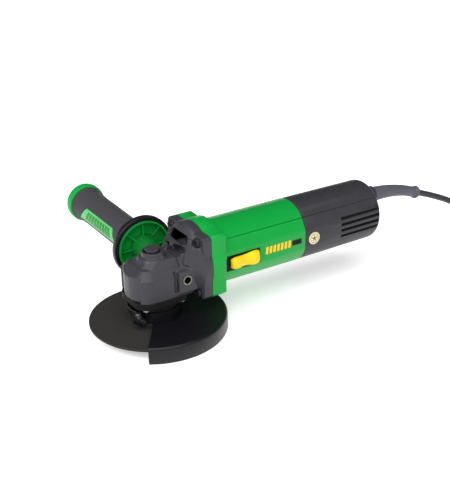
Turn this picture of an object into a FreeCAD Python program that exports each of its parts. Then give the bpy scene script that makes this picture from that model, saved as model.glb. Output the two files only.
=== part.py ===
"""Angle grinder for 125 mm discs, as an assembly of separate pieces in millimetres.

The frame: the origin is the centre of the spindle's free end, +Z goes up the spindle, +X runs along the
motor to the cord, and +Y is the side where the side handle is screwed in. The tool stands on the lower
edge of its guard. Heights above the inner flange's seat are written as disc_seat plus a size.
"""

import FreeCAD, Part
import math
import os
import re
import Sketcher

Vector = FreeCAD.Vector

SIZES = {
    # spindle, disc and flanges
    "disc_seat": 11.4,  # spindle's free end to the inner flange's seat
    "disc_radius": 62.5,
    "disc_thick": 2.5,
    "disc_bore": 11.1,
    "thread": 7.0,  # M14, radius
    "thread_core": 6.4,  # where the nut and the flange are screwed on
    "journal": 7.5,  # spindle radius in its ball bearing
    "gear_drop": 6.5,  # motor axis down to the top of the large gear's hub
    "gear_hub_long": 20.0,
    "top_journal_long": 7.0,
    "top_journal": 4.0,
    "flange_radius": 20.5,
    "flange_thick": 4.8,
    "nut_radius": 21.0,
    "nut_thick": 3.6,
    "nut_boss": 12.0,
    "nut_height": 5.4,
    "pin_hole": 2.5,
    "pin_hole_circle": 16.5,
    # fits
    "running": 0.03,  # radial clearance of a running fit
    "gap": 0.4,  # clearance between pieces that move past each other
    # bevel gears, both on cones whose tips meet where the two axes cross
    "gear_pitch": 20.0,
    "gear_teeth": 38,
    "pinion_teeth": 11,
    "tooth_out": 20.8,
    "tooth_in": 14.0,
    "addendum": 0.75,
    "dedendum": 1.2,
    # gear head
    "motor_high": 50.5,  # motor axis above the seat
    "deck_rise": 6.5,  # deck above the motor axis
    "deck_slope": 7.0,  # how far the deck falls to the walls
    "deck_slope_wide": 8.5,
    "head_half": 25.0,
    "head_front": 27.5,
    "head_corner": 15.0,
    "chamber": 22.0,
    "roof_drop": 2.9,  # gear chamber's roof below the motor axis
    "neck_base": 17.0,
    "neck_top": 11.0,
    "well_deep": 4.4,
    "button_well": 8.0,
    "lock_room": 3.6,  # spindle's top to the floor of the button's well
    "tongue_gap": 0.3,
    "lock_travel": 2.2,
    "button_guide": 4.5,
    "bush_radius": 6.5,
    "bush_rise": 2.5,  # bush above the motor axis
    # joint between the gear head and the motor housing
    "cone_front": 12.0,
    "cone_small": 10.0,
    "cone_back": 33.0,
    "cone_big": 34.5,
    "plate_front": 34.7,
    "plate_back": 43.6,
    "plate_half": 33.0,
    "plate_low": 30.6,  # below the motor axis
    "plate_high": 31.5,  # above it, at the corners
    "arch": 35.5,
    "screw_side": 24.0,
    "screw_up": 25.5,
    "screw_shank": 2.2,
    "screw_head": 4.2,
    # thread inserts for the side handle
    "handle_x": 20.8,
    "handle_high": 42.5,
    "boss_half": 27.0,
    "insert_radius": 4.8,
    "insert_long": 9.5,
    "handle_thread": 3.4,
    # bearing cover under the head
    "cover_high": 6.0,
    "cover_neck": 21.7,
    "cover_room": 8.0,  # top of the bearing to the gear head
    "cover_low": 5.5,
    "cover_screw": 18.0,
    "spindle_bearing_r": 17.5,
    "lip": 2.5,  # bearing cover's lip under the bearing
    "spindle_bearing_wide": 11.0,
    # guard
    "guard_gap": 5.0,  # from the disc's edge out to the guard's outer side
    "guard_wall": 1.6,
    "guard_plate_low": 2.6,
    "skirt_low": 12.4,  # below the seat
    "guard_start": -124.0,
    "guard_sweep": 184.0,
    "collar_long": 10.8,
    "collar_wall": 1.6,
    "lever_turn": -152.0,
    "lever_pivot": 27.5,
    "lever_high": 6.4,
    "lever_wrap": 78.0,
    # motor
    "front_bearing_r": 15.0,
    "front_bearing_x": 29.5,
    "front_bearing_wide": 9.0,
    "shaft": 5.0,
    "shaft_tip": 2.4,
    "flange_end": 58.2,
    "barrel": 31.4,
    "flat": 30.2,
    "crease_side": 23.4,
    "crease_up": 20.6,
    "barrel_end": 150.0,
    "fan_chamber": 28.6,
    "baffle_x": 62.5,
    "baffle_wide": 3.0,
    "stator": 26.5,
    "stator_bore": 17.0,
    "stack_start": 72.0,
    "stack_end": 122.0,
    "rotor": 16.4,
    "fan_radius": 25.5,
    "fan_x": 49.0,
    "fan_wide": 11.0,
    "commutator_x": 127.0,
    "commutator": 13.0,
    "commutator_end": 142.0,
    "rear_bearing_r": 11.0,
    "rear_bearing_x": 148.5,
    "rear_bearing_wide": 7.0,
    "sleeve_wall": 1.5,
    "rear_journal": 4.0,
    "bridge_x": 145.0,
    # slide switch
    "knob_x": 80.5,
    "knob_long": 31.0,
    "knob_high": 14.0,
    "knob_drop": 2.0,  # knob's centre below the motor axis
    "knob_proud": 5.6,
    "slide_travel": 7.0,
    "rod_thick": 1.4,
    "rod_high": 6.0,
    "rod_in": 26.9,
    "rod_end": 178.0,
    # rear cover
    "cover_end": 246.0,
    "cover_wall": 2.5,
    "cover_end_radius": 30.5,
    "slot_start": 194.0,
    "slot_high": 3.2,
    "slot_pitch": 6.1,
    "slot_top": 10.3,  # top slot above the motor axis
    "gland_up": 12.0,
    "gland_radius": 9.0,
    "gland_end": 256.0,
    # supply cord
    "cord_radius": 3.3,
    "boot_radius": 6.3,
    "boot_end_radius": 6.8,
    "boot_collar": 4.0,
    "coil_radius": 36.3,  # middle of the coil's winding
    "coil_half": 9.9,  # three turns side by side
    "coil_high": 18.0,  # and three layers, in each other's hollows
    "coil_out": 199.0,  # from the rear cover's end to the middle of the coil
    "coil_y": -38.0,
    "tail_long": 32.0,
    "plug_middle": 13.4,  # above the surface that the plug lies on
    "plug_half": 18.0,
    "plug_long": 30.0,
    "relief_long": 22.0,
    "plug_pin": 2.4,
    "plug_pin_long": 19.0,
    "plug_pin_side": 9.5,
    # side handle
    "dish_front": 56.9,
    "dish_radius": 26.9,
    "rim_front": 58.6,
    "rim_back": 64.3,
    "rim_radius": 31.1,
    "hub_front": 30.0,
    "grip_radius": 16.5,
    "grip_end": 188.0,
    "core_radius": 11.0,
    "cap_end": 198.7,
    "cap_radius": 20.2,
}

# heights above the spindle's free end, and other sizes, that several pieces share
HEIGHTS = {
    "axis_up": "disc_seat + motor_high",
    "nut_base": "disc_seat - disc_thick - nut_height",
    "bearing_base": "disc_seat + cover_low + lip",
    "bearing_top": "bearing_base + spindle_bearing_wide",
    "head_base": "bearing_top + cover_room",
    "gear_top": "axis_up - gear_drop",
    "gear_base": "gear_top - gear_hub_long",
    "chamber_roof": "axis_up - roof_drop",
    "bush_base": "axis_up + bush_rise",
    "spindle_top": "bush_base + top_journal_long",
    "well_floor": "spindle_top + lock_room",
    "neck_crown": "well_floor + well_deep",
    "deck": "axis_up + deck_rise",
    "guard_under": "disc_seat + guard_plate_low",
    "guard_top": "guard_under + guard_wall",
    "lever_base": "guard_top + 3.7",
    "guard_radius": "disc_radius + guard_gap",
    "gland_height": "axis_up + gland_up",
    "coil_x": "cover_end + coil_out",
}

# the height of the gland's middle that the two lists below are drawn for; they stretch with the real one
ROUTED_GLAND = 73.9

# where the middle of the cord runs, from the end of its boot into the coil, as (beyond the rear cover's end,
# y, height); its points are chosen by hand
CORD_ROUTE = [
    (72.0, 0.0, 62.0),
    (87.0, 0.0, 56.2),
    (104.0, 0.5, 48.9),
    (123.0, 0.9, 39.9),
    (140.0, 0.7, 28.6),
    (154.0, -0.2, 16.2),
    (166.0, -1.0, 7.0),
    (180.0, -1.7, 2.9),
    (194.0, -2.0, 2.4),
]

# the boot's middle as (beyond the rear cover's end, height, radius), up to its end collar
BOOT_STATIONS = [
    (-6.0, 73.9, 6.1),
    (10.0, 73.9, 6.1),
    (26.0, 73.3, 5.9),
    (42.0, 71.1, 5.6),
    (56.0, 67.6, 5.3),
]


document = FreeCAD.newDocument("angle_grinder")

TURNS = {
    "Z": FreeCAD.Rotation(),
    "-Z": FreeCAD.Rotation(Vector(1, 0, 0), 180),
    "X": FreeCAD.Rotation(Vector(0, 1, 0), 90),
    "Y": FreeCAD.Rotation(Vector(1, 0, 0), -90),
    "-Y": FreeCAD.Rotation(Vector(1, 0, 0), 90),
}


def sized(text):
    """The text with each shared height worked out and each size's name pointed at its cell."""

    def meant(word):
        if word[0] in HEIGHTS:
            return "(" + sized(HEIGHTS[word[0]]) + ")"
        return "Sizes." + word[0] if word[0] in SIZES else word[0]

    return re.sub(r"[a-z_]+", meant, text)


def value(text):
    """What an expression of the sizes comes to now."""
    return float(document.Sizes.evalExpression(sized(text).replace("Sizes.", "")))


def make_sheet():
    """The driving dimensions, one to a row, each cell under its size's name."""
    sheet = document.addObject("Spreadsheet::Sheet", "Sizes")
    for row, (name, number) in enumerate(SIZES.items(), start=1):
        sheet.set(f"A{row}", name)
        sheet.set(f"B{row}", str(number))
        sheet.setAlias(f"B{row}", name)
    document.recompute()


def bind(thing, **sizes):
    """Ties properties to expressions of the sheet's sizes."""
    for name, text in sizes.items():
        thing.setExpression(name, sized(text))


def put(thing, x="0", y="0", z="0", axis="Z"):
    """Turns a thing's own Z to an axis and ties its place to the sheet."""
    thing.Placement = FreeCAD.Placement(Vector(), TURNS[axis])
    for letter, text in zip("xyz", (x, y, z)):
        thing.setExpression(f"Placement.Base.{letter}", sized(text))


# Part primitives and booleans


def cylinder(radius, length, x="0", y="0", z="0", axis="Z"):
    """A bound cylinder that starts at a place and runs along an axis."""
    thing = document.addObject("Part::Cylinder", "cylinder")
    bind(thing, Radius=radius, Height=length)
    put(thing, x, y, z, axis)
    return thing


def box(x, y, z, end_x, end_y, end_z):
    """A bound box between two corners."""
    thing = document.addObject("Part::Box", "box")
    bind(thing, Length=f"({end_x}) - ({x})", Width=f"({end_y}) - ({y})", Height=f"({end_z}) - ({z})")
    put(thing, x, y, z)
    return thing


def fuse(label, *parts):
    """One piece, or a group of separate ones, made of several shapes."""
    thing = document.addObject("Part::MultiFuse", label)
    thing.Shapes = list(parts)
    thing.Refine = True
    return thing


def cut(label, base, *tools):
    """A shape with others taken out of it."""
    thing = document.addObject("Part::Cut", label)
    thing.Base = base
    thing.Tool = tools[0] if len(tools) == 1 else fuse(label + "_cuts", *tools)
    thing.Refine = True
    return thing


# PartDesign bodies


def new_body(label):
    return document.addObject("PartDesign::Body", label)


def sketch_on(body, plane, right="0", up="0", out="0"):
    """A sketch on an origin plane of the body, with its own origin moved right, up and out of it.

    On XZ, right is +X, up is +Z and out is -Y. On YZ, right is +Y, up is +Z and out is +X.
    """
    sketch = body.newObject("Sketcher::SketchObject", body.Label + "_sketch")
    base = next(f for f in body.Origin.OriginFeatures if f.Role == plane + "_Plane")
    sketch.AttachmentSupport = (base, "")
    sketch.MapMode = "FlatFace"
    for letter, text in zip("xyz", (right, up, out)):
        sketch.setExpression(f"AttachmentOffset.Base.{letter}", sized(text))
    return sketch


def tie(sketch, kind, text, *ends):
    """Adds a distance or radius to a sketch and ties it to the sheet."""
    start = sketch.evalExpression(sized(text))
    index = sketch.addConstraint(Sketcher.Constraint(kind, *ends, float(start)))
    sketch.setExpression(f"Constraints[{index}]", sized(text))


def outline(sketch, *corners):
    """A closed outline of straight lines through corners given as pairs of expressions."""
    starts = [Vector(*(float(sketch.evalExpression(sized(c))) for c in corner), 0) for corner in corners]
    first = sketch.GeometryCount
    count = len(corners)
    for k in range(count):
        sketch.addGeometry(Part.LineSegment(starts[k], starts[(k + 1) % count]), False)
    for k in range(count):
        joined = Sketcher.Constraint("Coincident", first + k, 2, first + (k + 1) % count, 1)
        sketch.addConstraint(joined)
    for k, (right, up) in enumerate(corners):
        for kind, text, axis in (("DistanceX", right, -2), ("DistanceY", up, -1)):
            if text == "0":
                sketch.addConstraint(Sketcher.Constraint("PointOnObject", first + k, 1, axis))
            else:
                tie(sketch, kind, text, -1, 1, first + k, 1)
    return sketch


def rectangle(sketch, left, low, right, high):
    return outline(sketch, (left, low), (right, low), (right, high), (left, high))


def circle(sketch, radius, right="0", up="0"):
    """A circle in a sketch with its centre and radius tied to the sheet."""
    place = [float(sketch.evalExpression(sized(text))) for text in (right, up)]
    size = float(sketch.evalExpression(sized(radius)))
    index = sketch.addGeometry(Part.Circle(Vector(*place, 0), Vector(0, 0, 1), size), False)
    for kind, text, axis in (("DistanceX", right, -2), ("DistanceY", up, -1)):
        if text == "0":
            sketch.addConstraint(Sketcher.Constraint("PointOnObject", index, 3, axis))
        else:
            tie(sketch, kind, text, -1, 1, index, 3)
    tie(sketch, "Radius", radius, index)
    return sketch


def pad(sketch, length, middle=False, back=False, hollow=False):
    """Pads a sketch, or pockets it when hollow, by a bound length."""
    body = sketch.getParentGeoFeatureGroup()
    feature = body.newObject("PartDesign::Pocket" if hollow else "PartDesign::Pad", body.Label + "_pad")
    feature.Profile = sketch
    feature.SideType = "Symmetric" if middle else "One side"
    feature.Reversed = back
    bind(feature, Length=length)
    document.recompute()
    return feature


def spin(sketch, axis="V_Axis", angle="360", hollow=False, back=False):
    """Turns a sketch about its own axis, or grooves with it when hollow."""
    body = sketch.getParentGeoFeatureGroup()
    kind = "PartDesign::Groove" if hollow else "PartDesign::Revolution"
    feature = body.newObject(kind, body.Label + "_turn")
    feature.Profile = sketch
    feature.ReferenceAxis = (sketch, [axis])
    feature.Reversed = back
    bind(feature, Angle=angle)
    document.recompute()
    return feature


def repeat(feature, axis, count):
    """Copies a feature evenly round one of the body's axes, or round a sketch's own axis."""
    body = feature.getParentGeoFeatureGroup()
    pattern = body.newObject("PartDesign::PolarPattern", body.Label + "_pattern")
    pattern.Originals = [feature]
    pattern.Axis = axis
    pattern.Angle = 360
    bind(pattern, Occurrences=count)
    body.Tip = pattern
    document.recompute()
    return pattern


def edges_where(feature, test):
    """The names of a feature's edges whose bounding boxes pass a test."""
    found = enumerate(feature.Shape.Edges, start=1)
    return [f"Edge{number}" for number, edge in found if test(edge.BoundBox)]


def fillet(feature, radius, test):
    """Rounds the edges that pass a test."""
    body = feature.getParentGeoFeatureGroup()
    rounding = body.newObject("PartDesign::Fillet", body.Label + "_fillet")
    rounding.Base = (feature, edges_where(feature, test))
    bind(rounding, Radius=radius)
    document.recompute()
    return rounding


def along_motor(body):
    """A sketch whose own X axis is the motor's axis, so its points are (x, radius)."""
    return sketch_on(body, "XZ", up="axis_up")


def turned(label, *corners):
    """A piece turned about the spindle's axis from (radius, height) corners."""
    body = new_body(label)
    spin(outline(sketch_on(body, "XZ"), *corners))
    return body


def turned_on_motor(label, *corners):
    """A piece turned about the motor's axis from (x, radius) corners."""
    body = new_body(label)
    spin(outline(along_motor(body), *corners), "H_Axis")
    return body


def turned_on_handle(label, *corners):
    """A piece turned about the side handle's axis from (y, radius) corners."""
    body = new_body(label)
    sketch = sketch_on(body, "YZ", up="disc_seat + handle_high", out="handle_x")
    spin(outline(sketch, *corners), "H_Axis")
    return body


def ring(label, inner, outer, low, high):
    """A plain ring about the spindle between two heights."""
    return turned(label, (inner, low), (outer, low), (outer, high), (inner, high))


def ring_on_motor(label, inner, outer, start, end):
    """A plain ring about the motor's axis between two places along it."""
    return turned_on_motor(label, (start, inner), (end, inner), (end, outer), (start, outer))


# spindle and what turns with it


def spindle():
    """M14 thread, ball bearing journal, gear seat and top journal with a cross slot for the lock."""
    body = turned(
        "spindle",
        ("0", "0"),
        ("thread", "0"),
        ("thread", "nut_base"),
        ("thread_core", "nut_base"),
        ("thread_core", "disc_seat + flange_thick"),
        ("journal", "disc_seat + flange_thick"),
        ("journal", "gear_top"),
        ("journal - 2", "gear_top"),
        ("journal - 2", "bush_base - 1"),
        ("top_journal", "bush_base - 1"),
        ("top_journal", "spindle_top"),
        ("0", "spindle_top"),
    )
    for across, along in (("top_journal + 1", "1.7"), ("1.7", "top_journal + 1")):
        slot = sketch_on(body, "XY", out="spindle_top")
        rectangle(slot, f"-({across})", f"-({along})", across, along)
        pad(slot, "lock_travel", hollow=True)


def inner_flange():
    """The flange that the disc is clamped against, with the pilot that centres the disc."""
    turned(
        "inner_flange",
        ("thread_core", "disc_seat - 1.6"),
        ("disc_bore - 0.05", "disc_seat - 1.6"),
        ("disc_bore - 0.05", "disc_seat"),
        ("flange_radius", "disc_seat"),
        ("flange_radius", "disc_seat + 2.4"),
        ("flange_radius - 6", "disc_seat + flange_thick"),
        ("thread_core", "disc_seat + flange_thick"),
    )


def abrasive_disc():
    ring("abrasive_disc", "disc_bore", "disc_radius", "disc_seat - disc_thick", "disc_seat")


def lock_nut():
    """The round outer flange that screws up against the disc, with four holes for a pin spanner."""
    body = turned(
        "lock_nut",
        ("thread_core", "disc_seat - disc_thick"),
        ("nut_radius", "disc_seat - disc_thick"),
        ("nut_radius", "disc_seat - disc_thick - nut_thick + 1"),
        ("nut_radius - 1", "disc_seat - disc_thick - nut_thick"),
        ("nut_boss", "disc_seat - disc_thick - nut_thick"),
        ("nut_boss", "nut_base"),
        ("thread_core", "nut_base"),
    )
    hole = sketch_on(body, "XY", out="disc_seat - disc_thick - nut_thick - 1")
    circle(hole, "pin_hole", "pin_hole_circle")
    drilled = pad(hole, "nut_thick", back=True, hollow=True)
    repeat(drilled, (hole, ["N_Axis"]), "4")


def bevel_tooth(body, width, tip_width, middle):
    """A straight bevel tooth that stands up between its two ends, each a share of the full size at its own x.

    middle is -1 for the spindle's gear, whose teeth mesh below the motor axis, and 1 for the pinion.
    """
    ends = []
    for x in ("tooth_out", "tooth_in"):
        sketch = sketch_on(body, "YZ", up="axis_up", out=x)
        pitch = f"{x} * pinion_teeth / gear_teeth"
        rise = f"addendum * {x} / gear_pitch"
        sink = f"(dedendum + 0.25) * {x} / gear_pitch"
        half = f"{width} * {x} / gear_pitch"
        half_tip = f"{tip_width} * {x} / gear_pitch"
        low = f"{middle} * ({pitch}) - {sink}"
        high = f"{middle} * ({pitch}) + {rise}"
        outline(sketch, (f"-({half})", low), (half, low), (half_tip, high), (f"-({half_tip})", high))
        ends.append(sketch)
    loft = body.newObject("PartDesign::AdditiveLoft", body.Label + "_tooth")
    loft.Profile = ends[0]
    loft.Sections = [ends[1]]
    loft.Ruled = True
    document.recompute()
    return loft


def bevel_gear():
    """The large gear on the spindle, its teeth facing up."""
    root = "axis_up - {0} * (pinion_teeth / gear_teeth + dedendum / gear_pitch)"
    body = turned(
        "bevel_gear",
        ("journal", "gear_base"),
        ("12", "gear_base"),
        ("12", "gear_base + 10"),
        ("tooth_out", "gear_base + 14"),
        ("tooth_out", root.format("tooth_out")),
        ("tooth_in", root.format("tooth_in")),
        ("12", "gear_top"),
        ("journal", "gear_top"),
    )
    tooth = bevel_tooth(body, "0.62", "0.36", -1)
    axis = next(f for f in body.Origin.OriginFeatures if f.Role == "Z_Axis")
    repeat(tooth, (axis, [""]), "gear_teeth")


def pinion():
    """The small gear on the motor's shaft. Its pattern leaves a gap where the large gear's tooth is."""
    root = "{0} * (pinion_teeth / gear_teeth - dedendum / gear_pitch)"
    body = turned_on_motor(
        "pinion",
        ("tooth_in", "shaft_tip"),
        ("tooth_in", root.format("tooth_in")),
        ("tooth_out", root.format("tooth_out")),
        ("tooth_out", "shaft + 1"),
        ("front_bearing_x - 1", "shaft + 1"),
        ("front_bearing_x - 1", "shaft_tip"),
    )
    tooth = bevel_tooth(body, "0.62", "0.3", 1)
    repeat(tooth, (tooth.Profile[0], ["N_Axis"]), "pinion_teeth")


def retaining_rings():
    """The ring that holds the gear down and the nut that holds the pinion on."""
    low = "gear_top"
    ring("gear_retaining_ring", "journal - 2", "journal + 0.6", low, low + " + 1.2")
    ring_on_motor("pinion_nut", "shaft_tip", "shaft_tip + 1.4", "tooth_in - 4", "tooth_in")


# gear head


def screw_places():
    """The four corners where the gear head is screwed to the motor housing."""
    return [(y, z) for y in ("screw_side", "-screw_side") for z in ("screw_up", "-screw_up")]


def gearbox_housing():
    """The cast gear head: walls, sloping deck, button neck, windowed cone and mounting plate."""
    body = new_body("gearbox_housing")
    walls = sketch_on(body, "XY", out="head_base")
    rectangle(walls, "-head_front", "-head_half", "plate_front", "head_half")
    solid = pad(walls, "deck - head_base")
    front = -value("head_front")
    solid = fillet(solid, "head_corner", lambda b: b.XMax < front + 0.1 and b.ZLength > 1)
    deck, back = value("deck"), value("plate_front")
    slope = body.newObject("PartDesign::Chamfer", "deck_slope")
    rim = edges_where(solid, lambda b: b.ZMin > deck - 0.1 and b.XMin < back - 0.1)
    slope.Base = (solid, rim)
    slope.ChamferType = "Two distances"
    bind(slope, Size="deck_slope", Size2="deck_slope_wide")
    document.recompute()
    if abs(slope.Shape.BoundBox.YLength - 2 * value("head_half")) > 0.01:
        raise RuntimeError("the deck's slope took the walls away")

    neck = sketch_on(body, "XZ")
    outline(
        neck,
        ("0", "bush_base"),
        ("neck_base", "bush_base"),
        ("neck_base", "deck - 1"),
        ("neck_top", "neck_crown - 2"),
        ("neck_top", "neck_crown - 0.6"),
        ("neck_top - 0.6", "neck_crown"),
        ("0", "neck_crown"),
    )
    spin(neck)

    shoulder = along_motor(body)
    outline(
        shoulder,
        ("cone_front", "0"),
        ("cone_front", "cone_small"),
        ("cone_back", "cone_big"),
        ("plate_front + 1", "cone_big"),
        ("plate_front + 1", "0"),
    )
    spin(shoulder, "H_Axis")
    plate = sketch_on(body, "YZ", up="axis_up", out="plate_front")
    rectangle(plate, "-plate_half", "-plate_low", "plate_half", "plate_high")
    pad(plate, "plate_back - plate_front")
    arch = circle(sketch_on(body, "YZ", up="axis_up", out="plate_front"), "arch")
    pad(arch, "plate_back - plate_front")
    bosses = sketch_on(body, "XZ")
    boss_low, boss_high = "disc_seat + handle_high - 12.5", "disc_seat + handle_high + 9.5"
    rectangle(bosses, "handle_x - 9.8", boss_low, "handle_x + 9.7", boss_high)
    pad(bosses, "2 * boss_half", middle=True)

    below = sketch_on(body, "YZ", up="axis_up", out="cone_front - 3")
    rectangle(below, "-50", "-60", "50", "-plate_low")
    pad(below, "60", back=True, hollow=True)
    below = sketch_on(body, "YZ", out="cone_front - 3")
    rectangle(below, "-50", "0", "50", "head_base")
    pad(below, "21", back=True, hollow=True)
    half = value("plate_half")
    fillet(body.Tip, "4", lambda b: b.XLength > 8 and abs(b.YMin) > half - 0.1 and b.ZLength < 0.1)

    inside = sketch_on(body, "XZ")
    outline(
        inside,
        ("0", "head_base - 1"),
        ("chamber", "head_base - 1"),
        ("chamber", "chamber_roof"),
        ("9", "chamber_roof"),
        ("9", "bush_base"),
        ("bush_radius", "bush_base"),
        ("bush_radius", "spindle_top"),
        ("button_guide", "spindle_top"),
        ("button_guide", "well_floor"),
        ("button_well", "well_floor"),
        ("button_well", "neck_crown + 1"),
        ("0", "neck_crown + 1"),
    )
    spin(inside, hollow=True)
    tunnel = along_motor(body)
    outline(
        tunnel,
        ("8", "0"),
        ("8", "8.5"),
        ("front_bearing_x", "8.5"),
        ("front_bearing_x", "front_bearing_r"),
        ("plate_back + 1", "front_bearing_r"),
        ("plate_back + 1", "0"),
    )
    spin(tunnel, "H_Axis", hollow=True)
    airway = along_motor(body)
    outline(
        airway,
        ("26", "front_bearing_r + 3.5"),
        ("26", "22.3"),
        ("35", "cone_big - 3"),
        ("plate_back + 1", "cone_big - 3"),
        ("plate_back + 1", "front_bearing_r + 3.5"),
    )
    spin(airway, "H_Axis", hollow=True)

    windows = sketch_on(body, "YZ", up="axis_up", out="cone_front - 4")
    upper = (("-13", "21.5"), ("-8", "28"), ("0", "30"), ("9", "29.4"), ("17", "26.5"), ("20", "21.5"))
    outline(windows, *upper)
    outline(windows, ("-14.5", "10.5"), ("4", "10.5"), ("4", "17"), ("-14.5", "17"))
    outline(windows, ("7", "10.5"), ("21", "10.5"), ("21", "17"), ("7", "17"))
    pad(windows, "28 - cone_front + 4", back=True, hollow=True)

    for side in (1, -1):
        hole = sketch_on(body, "XZ", out=f"{side} * boss_half")
        circle(hole, "insert_radius", "handle_x", "disc_seat + handle_high")
        pad(hole, "insert_long", back=side < 0, hollow=True)
    for y, z in screw_places():
        hole = circle(sketch_on(body, "YZ", up="axis_up", out="plate_front - 8"), "screw_head + 0.6", y, z)
        pad(hole, "8", back=True, hollow=True)
        hole = circle(sketch_on(body, "YZ", up="axis_up", out="plate_front - 1"), "screw_shank", y, z)
        pad(hole, "20", back=True, hollow=True)
    holes = sketch_on(body, "XY", out="head_base")
    for x in ("cover_screw", "-cover_screw"):
        for y in ("cover_screw", "-cover_screw"):
            circle(holes, "1.9", x, y)
    pad(holes, "9", back=True, hollow=True)


def gearbox_screws():
    """Four pan-head screws through the plate into the motor housing."""
    screws = []
    for y, z in screw_places():
        z = f"axis_up + {z}"
        screws.append(cylinder("screw_head", "3.2", "plate_front - 3.2", y, z, "X"))
        screws.append(cylinder("screw_shank", "22", "plate_front - 0.5", y, z, "X"))
    whole = fuse("screw_blanks", *screws)
    slots = []
    for y, z in screw_places():
        slots.append(box("plate_front - 4", f"{y} - 2.6", f"axis_up + {z} - 0.5",
                         "plate_front - 1.8", f"{y} + 2.6", f"axis_up + {z} + 0.5"))
        slots.append(box("plate_front - 4", f"{y} - 0.5", f"axis_up + {z} - 2.6",
                         "plate_front - 1.8", f"{y} + 0.5", f"axis_up + {z} + 2.6"))
    cut("gearbox_screws", whole, *slots)


def handle_inserts():
    """Steel threaded inserts in both sides of the head, either of which takes the side handle."""
    z = "disc_seat + handle_high"
    rings = []
    for y, axis in (("-boss_half", "Y"), ("boss_half", "-Y")):
        bar = cylinder("insert_radius", "insert_long", "handle_x", y, z, axis)
        bore = cylinder("handle_thread", "insert_long", "handle_x", y, z, axis)
        rings.append(cut("insert", bar, bore))
    fuse("handle_inserts", *rings)


def bearing_cover():
    """Closes the gear head from below, holds the spindle's bearing and carries the guard on its neck."""
    body = new_body("bearing_cover")
    flange = sketch_on(body, "XY", out="head_base - cover_high")
    rectangle(flange, "-head_front + 0.8", "-head_half + 0.6", "head_front - 0.8", "head_half - 0.6")
    fillet(pad(flange, "cover_high"), "head_corner - 0.8", lambda b: b.ZLength > 1)
    neck = sketch_on(body, "XZ")
    outline(
        neck,
        ("0", "disc_seat + cover_low"),
        ("cover_neck", "disc_seat + cover_low"),
        ("cover_neck", "head_base - 1"),
        ("0", "head_base - 1"),
    )
    spin(neck)
    inside = sketch_on(body, "XZ")
    outline(
        inside,
        ("0", "disc_seat + cover_low - 1"),
        ("13", "disc_seat + cover_low - 1"),
        ("13", "bearing_base"),
        ("spindle_bearing_r", "bearing_base"),
        ("spindle_bearing_r", "bearing_top"),
        ("14", "head_base + 1"),
        ("0", "head_base + 1"),
    )
    spin(inside, hollow=True)
    holes = sketch_on(body, "XY", out="head_base - cover_high - 1")
    for x in ("cover_screw", "-cover_screw"):
        for y in ("cover_screw", "-cover_screw"):
            circle(holes, "1.9", x, y)
    pad(holes, "cover_high + 2", back=True, hollow=True)


def bearing_cover_screws():
    """Four screws that hold the bearing cover up against the head."""
    screws = []
    low = "head_base - cover_high"
    for x in ("cover_screw", "-cover_screw"):
        for y in ("cover_screw", "-cover_screw"):
            screws.append(cylinder("3.4", "2.2", x, y, low + " - 2.2"))
            screws.append(cylinder("1.9", "cover_high + 8.5", x, y, low + " - 0.5"))
    fuse("bearing_cover_screws", *screws)


def spindle_bearings():
    """The ball bearing and top bush that the spindle runs in, and the felt ring below them."""
    ring("spindle_bearing", "journal + running", "spindle_bearing_r", "bearing_base", "bearing_top")
    ring("spindle_bush", "top_journal + running", "bush_radius", "bush_base", "spindle_top")
    ring("dust_seal", "journal + gap", "13", "disc_seat + cover_low + 0.3", "bearing_base")


def lock_button():
    """The spindle lock: a capped plunger, the steel tongue in its end and the spring under its cap."""
    cap_low = "well_floor + lock_travel + 1.4"
    cap = cylinder("button_well - 1.2", "3.4", z=cap_low)
    stem = cylinder("button_guide - running", f"({cap_low}) - well_floor + 1.1", z="well_floor - 1")
    dimple = cylinder("2.6", "0.8", z=cap_low + " + 2.8")
    low, high = "spindle_top + tongue_gap", "well_floor + 2"
    tongue = box("-3.5", "-1.5", low, "3.5", "1.5", high)
    seat = box("-3.5", "-1.5", low, "3.5", "1.5", high)
    cut("lock_button", fuse("button_blank", cap, stem), dimple, seat)
    tongue.Label = "lock_tongue"
    ring("lock_spring", "button_guide + 0.6", "button_guide + 1.8", "well_floor", cap_low)


# guard


def guard_shell():
    """Half a turn of sheet steel over the disc, with a skirt whose lower edge is rolled inwards."""
    body = new_body("guard_shell")
    profile = sketch_on(body, "XZ")
    low = "disc_seat - skirt_low"
    outline(
        profile,
        ("cover_neck + running", "guard_under"),
        ("guard_radius - guard_wall", "guard_under"),
        ("guard_radius - guard_wall", low + " + 2.2"),
        ("guard_radius - guard_wall - 1.4", low + " + 2.2"),
        ("guard_radius - guard_wall - 1.4", low),
        ("guard_radius - 0.8", low),
        ("guard_radius", low + " + 0.8"),
        ("guard_radius", "guard_top - 2.4"),
        ("guard_radius - 2.4", "guard_top"),
        ("cover_neck + running", "guard_top"),
    )
    spin(profile, angle="guard_sweep")
    bind(body, **{"Placement.Rotation.Angle": "guard_start"})


def guard_collar():
    """The clamping band round the bearing cover's neck, with the lug that the lever turns on."""
    outer = "cover_neck + running + collar_wall"
    body = ring("guard_collar", "cover_neck + running", outer, "guard_top", "guard_top + collar_long")
    lug = sketch_on(body, "XY", out="guard_top + 1")
    rectangle(lug, "cover_neck + 1", "-4", "lever_pivot + 3.5", "4")
    pad(lug, "2.4")
    hole = circle(sketch_on(body, "XY", out="guard_top - 1"), "1.6", "lever_pivot")
    pad(hole, "6", back=True, hollow=True)
    bind(body, **{"Placement.Rotation.Angle": "lever_turn"})


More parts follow.
